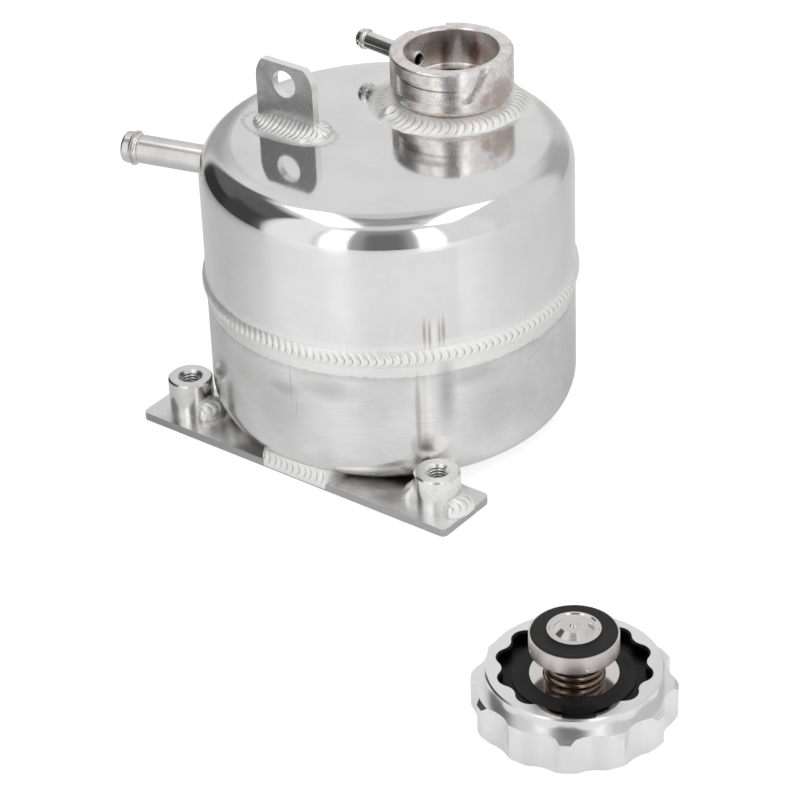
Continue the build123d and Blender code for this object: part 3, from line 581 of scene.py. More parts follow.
@dataclass
class WeldSet:
    """All weld beads of the tank, each with ripples pressed into it."""

    finish: Material
    tree: NodeTree
    steps_per_ripple: int = 9
    sunk: float = 0.12 * MM
    overlap: float = 0.1 * MM
    least_rise: float = 0.01 * MM
    girth_half: float = 3.2 * MM
    girth_stand: float = 1.5 * MM
    girth_root: float = 0.8 * MM
    girth_count: int = 152
    girth_waves: tuple[Point, ...] = ((0.12, 7, 0), (0.08, 19, 1))
    girth_ripples: Ripples = Ripples(0.42 * MM, 0.8, 0.0, 3.0)
    neck_foot: float = 19.5 * MM
    neck_rise: float = 3.0 * MM
    neck_toe: float = 27.4 * MM
    neck_crown: float = 1.1 * MM
    neck_spread: float = 1.9 * MM
    neck_spread_turn: float = math.radians(272)
    neck_root: float = 0.4 * MM
    neck_count: int = 58
    neck_waves: tuple[Point, ...] = ((0.4, 3, 0.4), (0.25, 11, 0), (0.12, 29, 2))
    neck_ripples: Ripples = Ripples(0.17 * MM, 1.3, 0.6, 8.0)
    crater_turn: float = math.radians(242.3)
    crater_half: float = 0.075
    crater_rise: float = 2.0 * MM
    tab_rise: float = 3.6 * MM
    tab_pitch: float = 1.95 * MM
    tab_root: float = 0.2 * MM
    plate_ends: Place = (2.2 * MM, 1.2 * MM)
    plate_rise: float = 4.6 * MM
    plate_over: float = 0.35 * MM
    plate_root: float = 0.3 * MM
    plate_belly: Place = (0.8 * MM, 0.62)
    plate_drape: float = 2.4 * MM
    drape_from: float = 0.75
    plate_rounding: float = 2.4 * MM
    plate_pitch: float = 2.6 * MM
    plate_ripples: Ripples = Ripples(0.24 * MM, 1.0, 0.5, 2.0)
    boss_leg: float = 5.4 * MM
    boss_toe: float = 0.9
    boss_arc: float = math.radians(80)
    boss_pitch: float = 1.9 * MM
    boss_ripples: Ripples = Ripples(0.3 * MM, 1.2, 0.4, 4.0)

    def build(self) -> None:
        """Makes every bead."""
        self.girth()
        self.neck()
        self.tab("tab_weld_front", -1, Ripples(0.6 * MM, 1.35, 0.4, 5.0))
        self.tab("tab_weld_back", 1, Ripples(0.6 * MM, 1.35, 0.4, 9.0))
        self.plate_front()
        self.boss("left_boss_weld", "left_boss", (0.0,))
        self.boss("right_boss_weld", "right_boss", (0.0, math.pi))

    def _rippled(self, name: str, node: str, runs: Sequence[Sequence[Station]], across: Sequence[float],
                 ring: bool, pitch: float, ripples: Ripples) -> None:
        """Joins a bead's cross-sections, presses the ripples and puts the piece on the tank.

        Args:
            name: The piece's name.
            node: Node that the piece stands for.
            runs: The cross-sections of each part of the bead. Their last two points are the root's.
            across: For each point over the root, its place between the toes.
            ring: True if the bead runs into itself.
            pitch: Distance between ripples.
            ripples: How they lie.
        """
        mesh = bead_mesh(name, runs, [*across, 1.0, -1.0], ring)
        piece = grown(name, mesh, self.tree, {
            "Pitch": pitch, "Depth": ripples.depth, "Lean": ripples.lean, "Wander": ripples.wander,
            "Seed": ripples.seed, "Finish": self.finish})
        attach(piece, "tank")
        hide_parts(node)

    def girth(self) -> None:
        """Makes the bead round the tank's middle."""
        across = shares(15)
        stations = []
        count = self.girth_count * self.steps_per_ripple
        for index in range(count):
            turn = FULL_TURN * index / count
            waver = waved(self.girth_waves, turn)
            section = [(SHELL.radius + self.girth_stand * (1 - v * v) - self.sunk, v * self.girth_half + waver)
                       for v in across]
            section += [(SHELL.radius - self.girth_root, side * self.girth_half / 2) for side in (1, -1)]
            stations.append(Station([(*round_about(TANK_AXIS, reach, turn), SHELL.seam + rise)
                                     for reach, rise in section], turn * SHELL.radius))
        self._rippled("girth_weld_bead", "girth_weld", [stations], across, True,
                      FULL_TURN * SHELL.radius / self.girth_count, self.girth_ripples)

    def neck(self) -> None:
        """Makes the wide bead between the neck's foot and the tank's top, with its ball of weld metal."""
        middle = middle_of("filler_neck")
        across = shares(19)
        stations = []
        count = self.neck_count * self.steps_per_ripple
        for index in range(count):
            turn = FULL_TURN * index / count
            toe = self.neck_toe + waved(self.neck_waves, turn)
            toe += self.neck_spread * max(math.cos(turn - self.neck_spread_turn), 0)
            crater = self.crater_rise * math.exp(-((turn - self.crater_turn) / self.crater_half) ** 2)
            points = []
            for v in across:
                share = (v + 1) / 2
                arch = math.sin(math.pi * share)
                spot = round_about(middle, toe + (self.neck_foot - toe) * share, turn)
                rise = self.neck_rise * share ** 1.7 + self.neck_crown * arch ** 1.4 + crater * arch ** 2
                points.append((*spot, SHELL.top_at(*spot) + rise - self.sunk * (1 - share)))
            for reach in (self.neck_foot, self.neck_toe - 1 * MM):
                spot = round_about(middle, reach, turn)
                points.append((*spot, SHELL.top_at(*spot) - self.neck_root))
            stations.append(Station(points, turn * self.neck_toe))
        self._rippled("neck_weld_bead", "neck_weld", [stations], across, True,
                      FULL_TURN * self.neck_toe / self.neck_count, self.neck_ripples)

    def tab(self, node: str, side: int, ripples: Ripples) -> None:
        """Makes the bead along one side of the tab's foot, run past its right end.

        Args:
            node: Node that the piece stands for.
            side: -1 for the front of the tab and 1 for its back.
            ripples: How its ripples lie.
        """
        low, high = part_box(node)
        foot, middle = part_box("mounting_tab")[0].z, middle_of("mounting_tab")[1]
        half = high.y - low.y
        across = shares(15)
        count = round((high.x - low.x) / self.tab_pitch) * self.steps_per_ripple
        stations = []
        for index in range(count + 1):
            x = low.x + (high.x - low.x) * index / count
            swell = swelled(min(x - low.x, high.x - x), half)
            edge = middle + side * half * swell
            points = []
            for v in across:
                lean = (v + 1) * math.pi / 4
                points.append((x, middle + side * half * swell * math.sin(lean),
                               foot + self.tab_rise * swell * math.cos(lean)))
            points += [(x, y, foot - self.tab_root) for y in (edge, middle)]
            stations.append(Station(points, x - low.x))
        self._rippled(node + "_bead", node, [stations], across, False, self.tab_pitch, ripples)

    def plate_front(self) -> None:
        """Makes the bead between the base plate's front edge, which it drapes over, and the tank's foot."""
        low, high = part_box("base_plate_front_weld")
        start, end = low.x - self.plate_ends[0], high.x - self.plate_ends[1]
        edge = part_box("base_plate")[0].y - self.plate_over
        across = shares(17)
        count = round((end - start) / self.plate_pitch) * self.steps_per_ripple
        stations = []
        for index in range(count + 1):
            x = start + (end - start) * index / count
            swell = swelled(min(x - start, end - x), self.plate_rounding)
            rise = self.plate_rise * swell + self.least_rise
            over = self.plate_drape * max(swell - self.drape_from, 0) / (1 - self.drape_from)
            root = SHELL.front_of_foot(x, self.plate_root)
            toe = root + (edge - root) * swell
            ends = (Vector((toe, SHELL.floor - over)), Vector((SHELL.front_of_foot(x, rise), SHELL.floor + rise)))
            belly = Vector((toe - self.plate_belly[0] * swell, SHELL.floor + self.plate_belly[1] * rise))
            points = []
            for v in across:
                share = (v + 1) / 2
                spot = (1 - share) ** 2 * ends[0] + 2 * share * (1 - share) * belly + share ** 2 * ends[1]
                points.append((x, *spot))
            points += [(x, root, SHELL.floor + lift) for lift in (self.overlap, -self.overlap)]
            stations.append(Station(points, x - start))
        self._rippled("plate_front_weld_bead", "base_plate_front_weld", [stations], across, False,
                      self.plate_pitch, self.plate_ripples)

    def boss(self, node: str, boss: str, turns: Sequence[float]) -> None:
        """Makes the short beads at a boss's foot.

        Args:
            node: Node that the piece stands for.
            boss: Node of the boss.
            turns: Directions of the beads' middles.
        """
        low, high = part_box(boss)
        spot, radius = middle_of(boss), (high.x - low.x) / 2
        across = shares(11)
        count = round(self.boss_arc * radius / self.boss_pitch) * self.steps_per_ripple
        runs = []
        for middle in turns:
            stations = []
            for index in range(count + 1):
                share = index / count
                leg = self.boss_leg * math.sqrt(max(1 - (2 * share - 1) ** 4, 0))
                turn = middle + self.boss_arc * (share - 0.5)
                points = []
                for v in across:
                    lean = (v + 1) * math.pi / 4
                    points.append((*round_about(spot, radius - self.overlap + leg * math.sin(lean), turn),
                                   low.z + leg * math.cos(lean)))
                points += [(*round_about(spot, reach, turn), low.z - self.overlap)
                           for reach in (radius + leg * self.boss_toe, radius - 3 * self.overlap)]
                stations.append(Station(points, share * self.boss_arc * radius))
            runs.append(stations)
        self._rippled(node + "_bead", node, runs, across, False, self.boss_pitch, self.boss_ripples)


# Sub-assemblies

def dress(finish: Material, *nodes: str) -> Material:
    """Gives nodes of the frame their material.

    Args:
        finish: The material.
        *nodes: The nodes' names.

    Returns:
        The same material.
    """
    for node in nodes:
        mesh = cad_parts[node].data
        mesh.materials.clear()
        mesh.materials.append(finish)
        LOG.info("%s: %s", node, finish.name)
    return finish


@dataclass
class TankBody:
    """The welded tank: shells, neck, barbs, tab, plate and bosses."""

    tree: NodeTree
    thread_radius: float = 3.45 * MM
    thread_wire: float = 0.8 * MM
    thread_pitch: float = 1.25 * MM
    thread_start: float = 0.6 * MM
    thread_entry: float = 1.1 * MM
    tube_turn: float = math.radians(173.3)
    tube_height: float = 10.8 * MM
    tube_sides: int = 40
    # Radius and distance from the neck's axis, in millimetres, of each edge of the tube's end.
    tube_profile: tuple[Place, ...] = (
        (2.1, 17.2), (2.1, 15.9), (2.3, 15.6), (2.8, 15.6), (3.05, 15.9), (3.05, 17.2))
    # Painted reflection: pale and dark upright streaks in the colour, standing for a bright point of the right boss
    # that the brushing draws out upwards, over and under the girth bead.
    painted_boss_reflection: tuple[Zone, ...] = (
        Zone(mm(47.8, 4.7, 65), mm(0.9, 0.9, 8), "BBA79E", 0.25, 0.9, 0.8),
        Zone(mm(49.0, 6.0, 64), mm(0.6, 0.6, 8), "A99486", 0.25, 0.8, 0.7),
        Zone(mm(50.0, 7.2, 64), mm(1.1, 1.1, 9), "FFFBF8", 0.36, 0.8, 0.9),
        Zone(mm(51.1, 8.6, 64), mm(0.6, 0.6, 8), "B7A9A2", 0.25, 0.8, 0.7),
        Zone(mm(52.0, 9.7, 65), mm(1.0, 1.0, 8), "AFA6A2", 0.25, 0.9, 0.75))
    # Painted reflection of the right boss on the lower cup: pale and dark upright streaks, and a bright spot just over
    # the boss.
    painted_low_boss_reflection: tuple[Zone, ...] = (
        Zone(mm(45.7, 2.5, 33), mm(1.3, 1.3, 22), "BDBABA", 0.3, 0.7, 0.8),
        Zone(mm(48.4, 5.4, 33), mm(1.6, 1.6, 22), "FAF8F6", 0.3, 0.8, 0.8),
        Zone(mm(52.3, 10.1, 40), mm(5.0, 5.0, 22), "B4B3B3", 0.3, 1.0, 0.85),
        Zone(mm(50.8, 8.0, 20.5), mm(3.6, 3.6, 4.2), "FFFDFB", 0.45, 0.5, 0.9))
    # Blotches of the brushed lower cup, and two scratches.
    marks: tuple[Zone, ...] = (
        Zone(mm(3.0, -16.2, 38.9), mm(8.5, 8.5, 4.2), "A9A9A9", 0.3, 0.9, 0.7, 0.8, 4.0),
        Zone(mm(20, -13.5, 42), mm(15, 15, 5), "C2C2C2", 0.3, 0.9, 0.6, 0.8, 5.0),
        Zone(mm(58, 19, 45), mm(15, 15, 5), "B9B9B9", 0.3, 0.9, 0.6, 0.7, 5.0),
        Zone(mm(1, -14, 30), mm(18, 18, 20), "CCCCCC", 0.2, 0.95, 0.8, 0.5, 9.0),
        Zone(mm(62, 26, 30), mm(21, 21, 20), "CCCCCC", 0.2, 0.95, 0.8, 0.5, 9.0),
        Zone(mm(5.8, -16, 41), mm(0.25, 0.25, 12), "A0A0A0", 0.3, 0.8, 0.7, 0.5, 1.5),
        Zone(mm(7.6, -15.8, 33), mm(0.22, 0.22, 7), "A6A6A6", 0.3, 0.8, 0.6, 0.5, 1.5))

    def build(self) -> None:
        """Gives each carried-over node its finish, and adds the threads and the tube's end."""
        self._cups()
        self._neck()
        tube = self._tubes()
        self._bar_and_tab()
        for node in ("left_boss", "right_boss"):
            self._boss(node)
        self._tube_end(tube)

    def _cups(self) -> None:
        """Dresses the two drawn cups."""
        neck, tab = middle_of("filler_neck"), middle_of("tab_weld_front")
        tab_foot = (tab[0], tab[1] + 2 * MM, SHELL.top)
        seam = (*TANK_AXIS, SHELL.seam)
        # Mirror-polished sheet aluminium: a clear reflection with a faint haze, dulled pale beside the welds, with a
        # painted reflection of the right boss streaked up it.
        dress(Finish(
            "mirror_polished_aluminium_upper", "F0F0F0", 0.045, grain_pitch_mm=0.45, grain_depth=0.0015,
            grain_haze=0.04, speckle=0.035, cloud_mm=26, cloud_colour="E2E2E2", cloud_haze=0.05,
            cloud_amount=0.5,
            zones=(Zone(seam, mm(1000, 1000, 6.4), "F6F6F5", 0.36, 0.3, 0.9, 0.5, 3.5),
                   Zone(tab_foot, mm(20.4, 11, 9), "B4B4B4", 0.3, 0.08, 0.7, 0.2, 1.6),
                   Zone(tab_foot, mm(20, 10.7, 9), "F8F8F7", 0.42, 0.14, 1.0, 0.16, 1.6),
                   Zone((*neck, SHELL.top), mm(30.8, 30.8, 20), "F8F7F5", 0.4, 0.1, 1.0, 0.09, 2.0),
                   *self.painted_boss_reflection)).material(), "upper_shell")
        # The lower cup is brushed round: its reflections blur upwards, blotches and scratches show, and a painted
        # reflection of the right boss streaks up it.
        dress(Finish(
            "brushed_aluminium_lower", "E9E9E9", 0.13, grain=Grain.SPUN, grain_pitch_mm=0.5,
            grain_depth=0.006, grain_haze=0.1, speckle=0.08, cloud_mm=20, cloud_colour="CFCECD",
            cloud_haze=0.08, cloud_amount=0.5,
            zones=(Zone(seam, mm(1000, 1000, 9.6), "C6C6C6", 0.22, 0.3, 0.55, 0.25, 3.0),
                   Zone(seam, mm(1000, 1000, 7.3), "F6F6F5", 0.42, 0.1, 1.0, 0.3, 2.2),
                   *self.painted_low_boss_reflection, *self.marks)).material(), "lower_shell")

    def _neck(self) -> None:
        """Dresses the filler neck."""
        x, y = middle_of("filler_neck")
        # Polished sand casting: bright, with pinkish brown torch stain in the bore and small open pits; a painted
        # highlight runs up the back of the bore, and painted shade darkens its bottom.
        dress(Finish(
            "polished_cast_aluminium", "FEFCFB", 0.19, grain_pitch_mm=0.8, grain_haze=0.18, grain_depth=0.03,
            speckle=0.2, cloud_mm=4.0, cloud_colour="C9B4A8", cloud_haze=0.08, cloud_amount=0.42,
            zones=(Zone((x, y, 119 * MM), mm(17.2, 17.2, 12), "EADCD2", 0.42, 0.06, 0.8, 0.1, 4.0),
                   # Painted highlight: a white upright stripe at the back of the bore.
                   Zone((x - 8 * MM, y + 14.4 * MM, 117 * MM), mm(2.4, 5, 10), "FFFFFF", 0.6, 0.7, 1.0, 0.5, 2.0),
                   Zone((x - 11.8 * MM, y + 11.6 * MM, 117 * MM), mm(2.2, 3, 9), "7D5843", 0.4, 0.8, 0.8, 1.0, 2.0),
                   Zone((x - 2.4 * MM, y + 16.3 * MM, 118 * MM), mm(3.6, 4, 10), "80604C", 0.4, 0.8, 0.8, 1.0, 2.0),
                   # Painted shade, dark brown, at the bottom of the bore.
                   Zone((x, y, 106 * MM), mm(15, 15, 6), "6E5A4C", 0.5, 0.3, 0.8),
                   Zone(mm(26, 81, 116), mm(9, 15, 8), "B9A396", 0.3, 0.8, 0.7, 1.2, 2.5),
                   Zone(mm(2.6, 60.3, 119.7), mm(22, 22, 0.45), "6E5F56", 0.35, 0.6, 0.85, 0.6, 3.0),
                   Zone(mm(2.6, 60.3, 126.4), mm(20, 20, 0.3), "85766C", 0.35, 0.6, 0.7, 0.6, 3.0),
                   Zone(mm(17.5, 65.3, 109.8), mm(21, 21, 1.7), "A58573", 0.35, 0.9, 0.7, 0.9, 2.5)),
        ).material(), "filler_neck")

    def _tubes(self) -> Material:
        """Dresses the three tubes.

        Returns:
            The material of the large ones.
        """
        # Turned and satin-polished tube: rings of fine tool marks across a bright metal.
        tube = dress(Finish(
            "turned_aluminium_tube", "EBEAE9", 0.2, grain_pitch_mm=0.8, grain_depth=0.006, grain_haze=0.06,
            speckle=0.05, cloud_mm=9, cloud_colour="CFC9C4", cloud_amount=0.4,
        ).material(), "side_inlet_barb", "outlet_barb")
        # The small tube is polished brighter than the large ones.
        dress(Finish(
            "polished_aluminium_small_tube", "EDEDEC", 0.08, grain_pitch_mm=0.8, grain_depth=0.006,
            grain_haze=0.05, speckle=0.04, cloud_mm=6, cloud_colour="D0CAC4", cloud_amount=0.4,
        ).material(), "overflow_barb")
        return tube

    def _tube_end(self, finish: Material) -> None:
        """Adds the end of the overflow tube, a little proud of the neck's bore.

        Args:
            finish: The tube's material.
        """
        out = Vector((math.cos(self.tube_turn), math.sin(self.tube_turn), 0))
        side = Vector((-math.sin(self.tube_turn), math.cos(self.tube_turn), 0))
        middle = Vector((*middle_of("filler_neck"), SHELL.top + self.tube_height))
        stations = []
        for index in range(self.tube_sides):
            lean = FULL_TURN * index / self.tube_sides
            rim = side * math.cos(lean) + Vector((0, 0, math.sin(lean)))
            stations.append(Station([tuple(middle + out * (reach * MM) + rim * (radius * MM))
                                     for radius, reach in self.tube_profile], 0.0))
        mesh = bead_mesh("overflow_tube_end", [stations], [0.0] * len(self.tube_profile), True)
        mesh.shade_smooth()
        mesh.materials.append(finish)
        piece = placed("overflow_tube_end", mesh)
        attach(piece, "tank")
        LOG.info("%s: %d faces", piece.name, len(mesh.polygons))

    def _bar_and_tab(self) -> None:
        """Dresses the base plate and the tab."""
        # Polished bar with a rolled grain: fine lines along its length, and two darker brown patches beside the tank.
        dress(Finish(
            "polished_aluminium_bar", "F6F6F5", 0.16, grain=Grain.ROLLED, grain_pitch_mm=0.4,
            grain_depth=0.008, grain_haze=0.08, speckle=0.08, cloud_mm=9, cloud_colour="C9C1BB",
            cloud_haze=0.08, cloud_amount=0.4, edge_colour="B4B4B4", face_axis="Z",
            zones=(Zone(mm(-72, 0, 3), mm(29, 19, 3), "FFFFFF", 0.42, 0.4, 0.9, 0.3, 5.0),
                   Zone(mm(66, 0, 3), mm(28, 19, 3), "FFFFFF", 0.42, 0.4, 0.9, 0.3, 5.0),
                   Zone(mm(-36, 5, 3), mm(9, 7, 2), "9E8473", 0.2, 0.9, 0.7, 0.8, 3.0),
                   Zone(mm(36, 5, 3), mm(12, 7, 2), "94796A", 0.2, 0.9, 0.7, 0.8, 3.0)),
        ).material(), "base_plate")
        # Sheared sheet tab: dull, mottled mill finish on its faces, and a painted highlight in near white along its cut
        # edges.
        dress(Finish(
            "mill_aluminium_sheet", "C6C6C6", 0.22, grain_pitch_mm=1.4, grain_haze=0.12, speckle=0.12,
            cloud_mm=6, cloud_colour="9C9C9C", cloud_haze=0.1, cloud_amount=0.6, edge_colour="FAFAFA",
        ).material(), "mounting_tab")

    def _boss(self, node: str) -> None:
        """Dresses a boss and winds the thread down its hole.

        Args:
            node: The boss's node.
        """
        middle, top = middle_of(node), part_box(node)[1].z
        # Turned boss: bright metal with rings of tool marks, and painted shade darkening the inside of its hole.
        metal = dress(Finish(
            "turned_aluminium_" + node, "F4F4F3", 0.16, grain=Grain.TURNED, grain_pitch_mm=0.35,
            grain_depth=0.008, grain_haze=0.08, speckle=0.06, axis=middle, cloud_mm=5,
            cloud_colour="D9D6D4", cloud_amount=0.5,
            zones=(Zone((*middle, top), mm(9, 9, 0.5), "FFFFFF", 0.4, 0.5, 0.9),
                   # Painted shade inside the threaded hole.
                   Zone((*middle, top - 6.5 * MM), mm(3.9, 3.9, 6), "8C8885", 0.25, 0.2, 0.9)),
        ).material(), node)
        high = top - self.thread_entry
        turns = (high - self.thread_start) / self.thread_pitch
        thread = Coil(middle, self.thread_radius, self.thread_wire, self.thread_start, high, turns, 0.0, 6.0)
        piece = thread.wound(node + "_thread", self.tree, metal)
        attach(piece, "tank")


@dataclass
class PressureCap:
    """The cap, upside down beside the tank: knob, insert, gasket, spring, cup and vacuum valve."""

    tree: NodeTree
    spring_radius: float = 8.7 * MM
    spring_wire: float = 1.6 * MM
    spring_turns: float = 6.4
    spring_seat: float = 8.8 * MM
    spring_travel: float = 2.4 * MM
    weak_radius: float = 2.2 * MM
    weak_turns: float = 2.0
    weak_travel: float = 0.8 * MM

    def build(self) -> None:
        """Gives each node of the cap and its valves a finish, and winds both springs."""
        axis = middle_of("cap_knob")
        # Satin machined billet: very bright, with the cutter's upright marks in the flutes.
        dress(Finish(
            "machined_billet_aluminium", "ECECEC", 0.22, grain=Grain.DRAWN, grain_pitch_mm=0.8,
            grain_depth=0.002, grain_haze=0.04, speckle=0.035, axis=axis, cloud_mm=12,
        ).material(), "cap_knob")
        # Gloss black moulded nylon with a faint swirl in the skin.
        dress(Finish(
            "moulded_black_nylon", "030304", 0.22, metallic=0.0, grain_pitch_mm=0.9, grain_haze=0.15,
            cloud_mm=5, cloud_haze=0.1, specular=0.2,
        ).material(), "cap_insert")
        # Matt black rubber: no clear reflection, a fine dusty tooth.
        dress(Finish(
            "black_rubber", "262627", 0.6, metallic=0.0, grain_pitch_mm=0.35, grain_depth=0.03,
            grain_haze=0.15, speckle=0.2, cloud_mm=6, cloud_haze=0.1, specular=0.35,
        ).material(), "neck_gasket", "valve_seal")
        # Drawn stainless cup, brushed round its side, a little pink.
        dress(Finish(
            "brushed_stainless_cup", "E9E2E0", 0.34, grain=Grain.SPUN, grain_pitch_mm=0.4, grain_depth=0.003,
            grain_haze=0.06, speckle=0.06, axis=axis, cloud_mm=8, cloud_colour="CDBFBA", cloud_amount=0.4,
        ).material(), "valve_cup", "seal_carrier", "valve_guide", "stem_washer")
        # Bright pressed stainless sheet.
        dress(Finish(
            "pressed_stainless_sheet", "E0DCDB", 0.08, grain=Grain.TURNED, grain_pitch_mm=0.5,
            grain_depth=0.005, grain_haze=0.06, speckle=0.06, axis=axis, cloud_mm=6,
        ).material(), "spring_plate", "vacuum_disc", "vacuum_stem")
        # Tempered spring wire: thin bronze heat colour over bright steel.
        wire = Finish("tempered_spring_steel", "A28D7D", 0.1, grain_pitch_mm=0.8, grain_depth=0.006,
                      grain_haze=0.08, cloud_mm=4, cloud_colour="54443A", cloud_amount=0.5).material()
        self._spring(wire)
        self._weak_spring(wire)

    def _spring(self, finish: Material) -> None:
        """Winds the pressure spring between the plate's well and the cup.

        Args:
            finish: The wire's material.
        """
        low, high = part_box("pressure_spring")
        coil = Coil(middle_of("valve_cup"), self.spring_radius, self.spring_wire, low.z, high.z,
                    self.spring_turns, 0.25, 20.0)
        piece = coil.wound("pressure_spring_wire", self.tree, finish)
        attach(piece, "cap")
        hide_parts("pressure_spring")
        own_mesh(piece)

    def _weak_spring(self, finish: Material) -> None:
        """Winds the vacuum valve's spring between the stem's washer and the seal carrier.

        Args:
            finish: The wire's material.
        """
        low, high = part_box("vacuum_spring")
        coil = Coil(middle_of("vacuum_spring"), self.weak_radius, high.x - low.x - 2 * self.weak_radius,
                    low.z, high.z, self.weak_turns, 0.0, 10.0)
        piece = coil.wound("vacuum_spring_wire", self.tree, finish)
        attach(piece, "pressure_valve")
        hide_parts("vacuum_spring")
        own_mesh(piece)


# Studio

# Degrees that stand for straight up, short of where the tangent has no end.
NEARLY_UP = 89.9


@dataclass(frozen=True)
class Wall:
    """Upright part of the light tent, between two azimuths and two elevations seen from the tank.

    An azimuth of 0 faces the camera and grows to the camera's right. The tone is the brightness, from
    0 to 255, that polished aluminium shows there, and more than 255 is a lamp.
    """

    start: float
    end: float
    low: float
    high: float
    tone: float
    edge: float = 3.0
    rim: float = 3.0

    def share(self, azimuth: float, elevation: float) -> float:
        """How much of this wall a direction sees, from 0 to 1.

        Args:
            azimuth: Degrees from the camera.
            elevation: Degrees over the horizon.

        Returns:
            The share.
        """
        middle, half = (self.start + self.end) / 2, (self.end - self.start) / 2
        off = abs((azimuth - middle + 180) % 360 - 180)
        inside = eased((half - off) / self.edge + 0.5)
        return inside * eased((elevation - self.low) / self.rim + 0.5) * eased((self.high - elevation) / self.rim + 0.5)


@dataclass(frozen=True)
class Softbox:
    """Flat lamp in the tent's ceiling. Its sizes are in heights of the ceiling over the tank."""

    left: float
    right: float
    back: float
    front: float
    tone: float
    edge: float
    lowest: float = 5.0

    def share(self, azimuth: float, elevation: float) -> float:
        """How much of this lamp a direction sees, from 0 to 1.

        Args:
            azimuth: Degrees from the camera.
            elevation: Degrees over the horizon.

        Returns:
            The share.
        """
        if elevation < self.lowest:
            return 0.0
        reach = 1 / math.tan(math.radians(min(elevation, NEARLY_UP)))
        across, ahead = reach * math.sin(math.radians(azimuth)), reach * math.cos(math.radians(azimuth))
        edge = self.edge * (1 + reach)
        found = 1.0
        for room in (across - self.left, self.right - across, ahead - self.back, self.front - ahead):
            found *= eased(room / edge + 0.5)
        return found


def eased(share: float) -> float:
    """Smooth step from 0 to 1."""
    share = min(max(share, 0.0), 1.0)
    return share * share * (3 - 2 * share)


